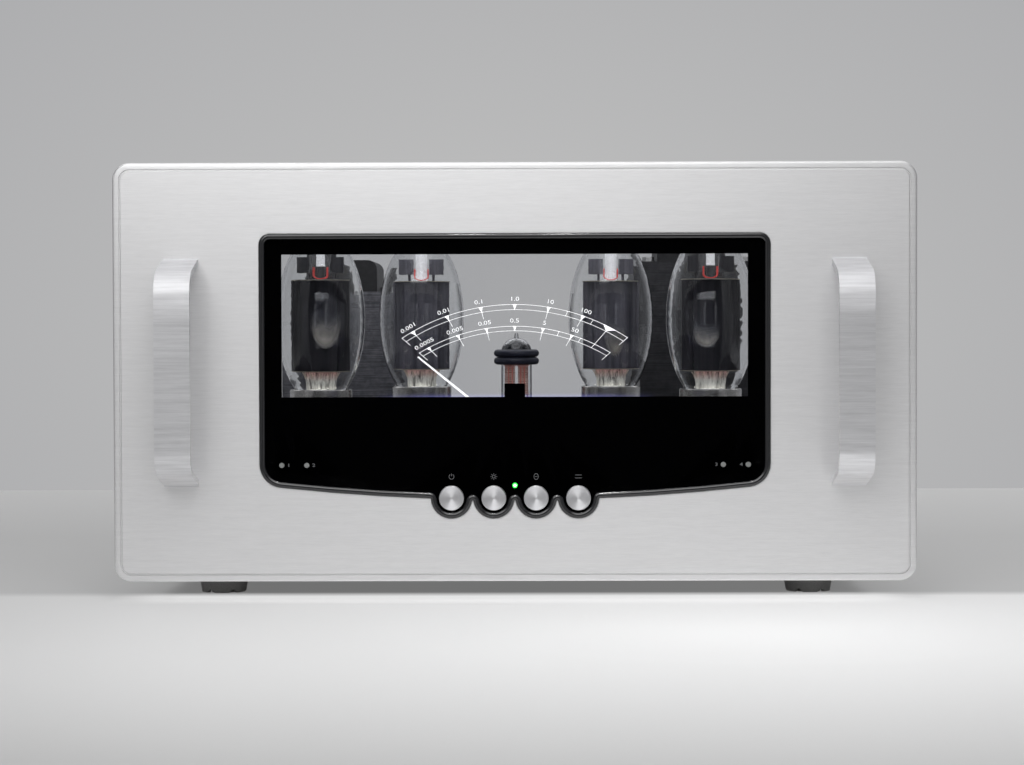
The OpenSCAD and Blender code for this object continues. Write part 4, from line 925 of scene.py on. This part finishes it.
def lead_fan(centre, count=11):
    """Wires that lean outwards from the stem to the lower spacer."""
    parts = []
    rise = np.linspace(0, 1, 6)
    r = 6.5 + 5.5 * rise**1.4
    for turn in np.linspace(0, 2 * np.pi, count, endpoint=False) + 0.2:
        h = -1.0 + (ANODE_FOOT - 0.2) * rise
        path = np.column_stack([r * np.cos(turn), r * np.sin(turn), h])
        parts.append(wire(path + np.asarray(centre), 0.45, 6))
    return joined(parts)


def getter_film(name, centre, turn_mid, h_mid, half_turn, half_h):
    """A metal film, cream low down and dark bluish higher up: a painted reflection of the
    pale table below and the dark above. It thins out towards its rim and top.
    """
    made = Finish(name, Metallic=0.35, Roughness=0.32)
    r, turn = bulb_inside(h_mid), math.radians(turn_mid)
    spot = np.asarray(centre) + (r * math.cos(turn), r * math.sin(turn), h_mid)
    spot = place([spot])[0]
    size = (1000 / (r * math.radians(half_turn)), 0, 1000 / half_h)
    blots = made.times(made.noise((90, 90, 60), 3.0), 0.5)
    up = made.times(made.axis("Z", size, spot), 0.5)
    height = made.sum(made.sum(up, 0.45), blots)
    # Painted reflection: cream low down, dark bluish higher up.
    made.put("Base Color", made.ramp(height, (0.78, 0.73, 0.65), (0.16, 0.17, 0.22), 0.3, 0.75))
    inside = made.ramp(made.reach(size, spot), 1.0, 0.0, 0.7, 0.98)
    made.put("Alpha", made.times(inside, made.ramp(height, 0.8, 0.04, 0.3, 0.8)))
    return made


def getter_patch(centre, turn_mid, h_mid, half_turn, half_h, rings=13, steps=48):
    """A round patch that follows the bulb's inner wall: angle and height from its middle."""
    lap = np.linspace(0, 2 * np.pi, steps, endpoint=False)
    u, w = np.meshgrid(np.linspace(0, 1, rings), lap, indexing="ij")
    turn = np.radians(turn_mid + half_turn * u * np.cos(w))
    h = h_mid + half_h * u * np.sin(w)
    faces = [list(f) for f in grid_faces(rings, steps, True)]
    skin = []
    for inset in (0.15, 0.3):
        r = bulb_inside(h) - inset
        skin.append(np.stack([r * np.cos(turn), r * np.sin(turn), h], -1).reshape(-1, 3))
    lot = len(skin[0])
    faces += [[k + lot for k in f[::-1]] for f in faces]
    rim = np.arange(steps) + (rings - 1) * steps
    after = np.roll(rim, -1)
    faces += [list(f) for f in np.stack([rim, after, after + lot, rim + lot], -1)]
    return np.vstack(skin) + np.asarray(centre), faces


print("anode", ANODE_FOOT, "to", ANODE_TOP)

# %% Tube works
# Angle about the tube, height, half angle and half height of each film.
GETTERS = {1: (-79, 45, 22, 19.5), 3: (-86, 40, 17, 21), 4: (-99, 39, 20, 13)}
OUTER_TUBES = (1, 4)
# Radius of the column and height of its foot above the anode.
OUTER_COLUMN, INNER_COLUMN = (2.9, 9.0), (4.0, 0.9)
COLUMN_IN, COLUMN_TOP = 2.41, 21.8
RING_R, RING_WIRE, RING_UP = 10.5, 0.7, 0.6
STEM = [(3.0, -0.4), (9.2, -0.4), (9.8, 5.0), (10.6, STEM_H), (3.0, STEM_H)]
SHADE_HALF, SHADE_UP, SHADE_H, SHADE_BACK, SHADE_T = 9.5, 11.5, 21.0, 7.6, 0.4
ring_turn = np.linspace(0, 2 * np.pi, 12, endpoint=False)
ring_r = RING_R + RING_WIRE * np.cos(ring_turn)
STEM_RING = np.column_stack([ring_r, RING_UP + RING_WIRE * np.sin(ring_turn)])
for i in TUBES:
    tube = f"tube_{i}_"
    tube_x, tube_d, _ = middle(tube + "bulb")
    centre = (tube_x, tube_d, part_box(f"tube_{i}_base")[1].z * 1000 - PLATE_Z)
    spacers = [mica_disc(centre, h) for h in (ANODE_FOOT - 0.55, ANODE_TOP + 0.05)]
    piece(tube + "mica", joined(spacers), mica, smooth=30)
    loops = [heater_loop(centre, y) for y in (-4.2, 4.2)]
    piece(tube + "heater", joined(loops), heat, smooth=50)
    r, low = OUTER_COLUMN if i in OUTER_TUBES else INNER_COLUMN
    column = [(COLUMN_IN, low), (r, low), (r * 0.94, low + 4), (r, COLUMN_TOP)]
    column.append((COLUMN_IN, COLUMN_TOP))
    column = [(a, ANODE_TOP + b) for a, b in column]
    piece(tube + "column", turned_form(column, centre, 32), white_column_painted_glow, smooth=30)
    piece(tube + "leads", lead_fan(centre), lead_painted_glow, smooth=50)
    piece(tube + "stem_ring", turned_form(STEM_RING, centre), stem_ring_painted_glint, smooth=60)
    piece(tube + "stem", turned_form(STEM, centre), stem_lines, smooth=30)
    # The outer tubes get a dark sheet behind the column: painted shade.
    if i in OUTER_TUBES:
        ends = [[-SHADE_HALF, ANODE_TOP + SHADE_UP], [SHADE_HALF, ANODE_TOP + SHADE_UP]]
        ends = np.array(ends) + (centre[0], centre[2])
        bar = strip(ends, SHADE_H, centre[1] + SHADE_BACK, SHADE_T)
        piece(tube + "painted_shade", bar, painted_shade)
    if i in GETTERS:
        film = getter_film(f"getter_film_{i}", centre, *GETTERS[i])
        piece(tube + "getter", getter_patch(centre, *GETTERS[i]), film, smooth=40)
print("tube works ready")

# %% [markdown]
# The driver tube's dome is dark inside, and its heaters glow between fine grid wires
# below the damper rings.

# %% Driver works
DRIVER_R, DRIVER_WALL, DRIVER_DOME, DRIVER_H, DRIVER_TIP = 10.5, 0.9, 10.0, 48.0, 3.0
GRID_LOW, GRID_HIGH, GRID_PITCH, GRID_HALF = 11.5, 28.0, 1.5, 2.9
driver_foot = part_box("driver_bulb")[1].z * 1000 - PLATE_Z - DRIVER_H - DRIVER_TIP
driver_centre = np.array([0.0, middle("driver_bulb")[1], driver_foot])


def dome_profile(inset):
    """The dome's inner wall drawn in by an inset: straight, then a quarter ellipse."""
    rise = np.radians(np.linspace(0, 87, 14))
    r, tall = DRIVER_R - DRIVER_WALL - inset, DRIVER_DOME - DRIVER_WALL - inset
    curve = np.column_stack([r * np.cos(rise), DRIVER_H - DRIVER_DOME + tall * np.sin(rise)])
    return np.vstack([[r, DRIVER_H - DRIVER_DOME - 5], curve])


film_profile = np.vstack([dome_profile(0.12), dome_profile(0.4)[::-1]])
piece("driver_getter", turned_form(film_profile, driver_centre), dome_dark, smooth=40)
grid_parts, heater_parts = [], []
for side in (-4, 4):
    for h in np.arange(GRID_LOW, GRID_HIGH, GRID_PITCH):
        row = [[side - GRID_HALF, -4.75, h], [side, -4.9, h], [side + GRID_HALF, -4.75, h]]
        grid_parts.append(wire(np.array(row) + driver_centre, 0.16, 6, (0.1, 0.2, 0.95)))
    for x in (side - 1.2, side + 1.2):
        rod = np.array([[x, -5.3, 12.0], [x, -5.3, 20.0], [x, -5.3, 28.0]])
        heater_parts.append(wire(rod + driver_centre, 0.4, 8))
piece("driver_grid", joined(grid_parts), lead_painted_glow, smooth=50)
piece("driver_heater", joined(heater_parts), pale_heat, smooth=50)
print("driver works", len(grid_parts), len(heater_parts))

# %% [markdown]
# Small plain marks are printed beside the controls: one sign above each button, and a
# number beside each tube lamp. They are drawn with the same strips as the scale.

# %% Marks
MARK_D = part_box("window_glass")[0].y * 1000 - PLATE_Y - 0.03
MARK_V, MARK_LINE, MARK_T = -62.8, 0.26, 0.02
LAMP_V, LAMP_STEP, LAMP_NUMBER_TALL = -55.8, 4.2, 2.0
# The x of each tube lamp, and the side on which its number stands.
LAMP_XS = ((-140, 1), (-125, 1), (125, -1), (140, -1))


def round_path(x, half_w, half_h, start=0, end=360):
    """Part of an ellipse about a mark's place, from one angle to another."""
    a = np.radians(np.linspace(start, end, 25))
    return np.column_stack([x + half_w * np.cos(a), MARK_V + half_h * np.sin(a)])


def mark(path):
    """A thin printed line on the front of the glass."""
    return strip(path, MARK_LINE, MARK_D, MARK_T)


power_x, light_x, monitor_x, mode_x = (middle(button)[0] for button in BUTTONS)
mark_parts = [mark(round_path(power_x, 1.5, 1.5, 120, 420))]
mark_parts.append(mark([[power_x, MARK_V + 0.3], [power_x, MARK_V + 1.9]]))
mark_parts.append(mark(round_path(light_x, 0.9, 0.9)))
for a in np.radians(np.arange(0, 360, 45)):
    ray = np.array([math.cos(a), math.sin(a)])
    mark_parts.append(mark(np.array([light_x, MARK_V]) + np.outer([1.4, 2.0], ray)))
mark_parts.append(mark(round_path(monitor_x, 1.3, 1.8)))
mark_parts.append(mark([[monitor_x - 0.7, MARK_V], [monitor_x + 0.7, MARK_V]]))
for lift in (-0.9, 0.9):
    mark_parts.append(mark([[mode_x - 2, MARK_V + lift], [mode_x + 2, MARK_V + lift]]))
for number, (x, side) in enumerate(LAMP_XS, 1):
    spot = (x + LAMP_STEP * side, LAMP_V)
    mark_parts.append(letters(str(number), LAMP_NUMBER_TALL, spot, 0, MARK_D))
# The marks glow faintly: painted light.
mark_ink_painted_glow = lit("mark_ink_painted_glow", (0.2, 0.205, 0.215), 0.12, 900)
piece("control_marks", joined(mark_parts), mark_ink_painted_glow)
print("marks", len(mark_parts))
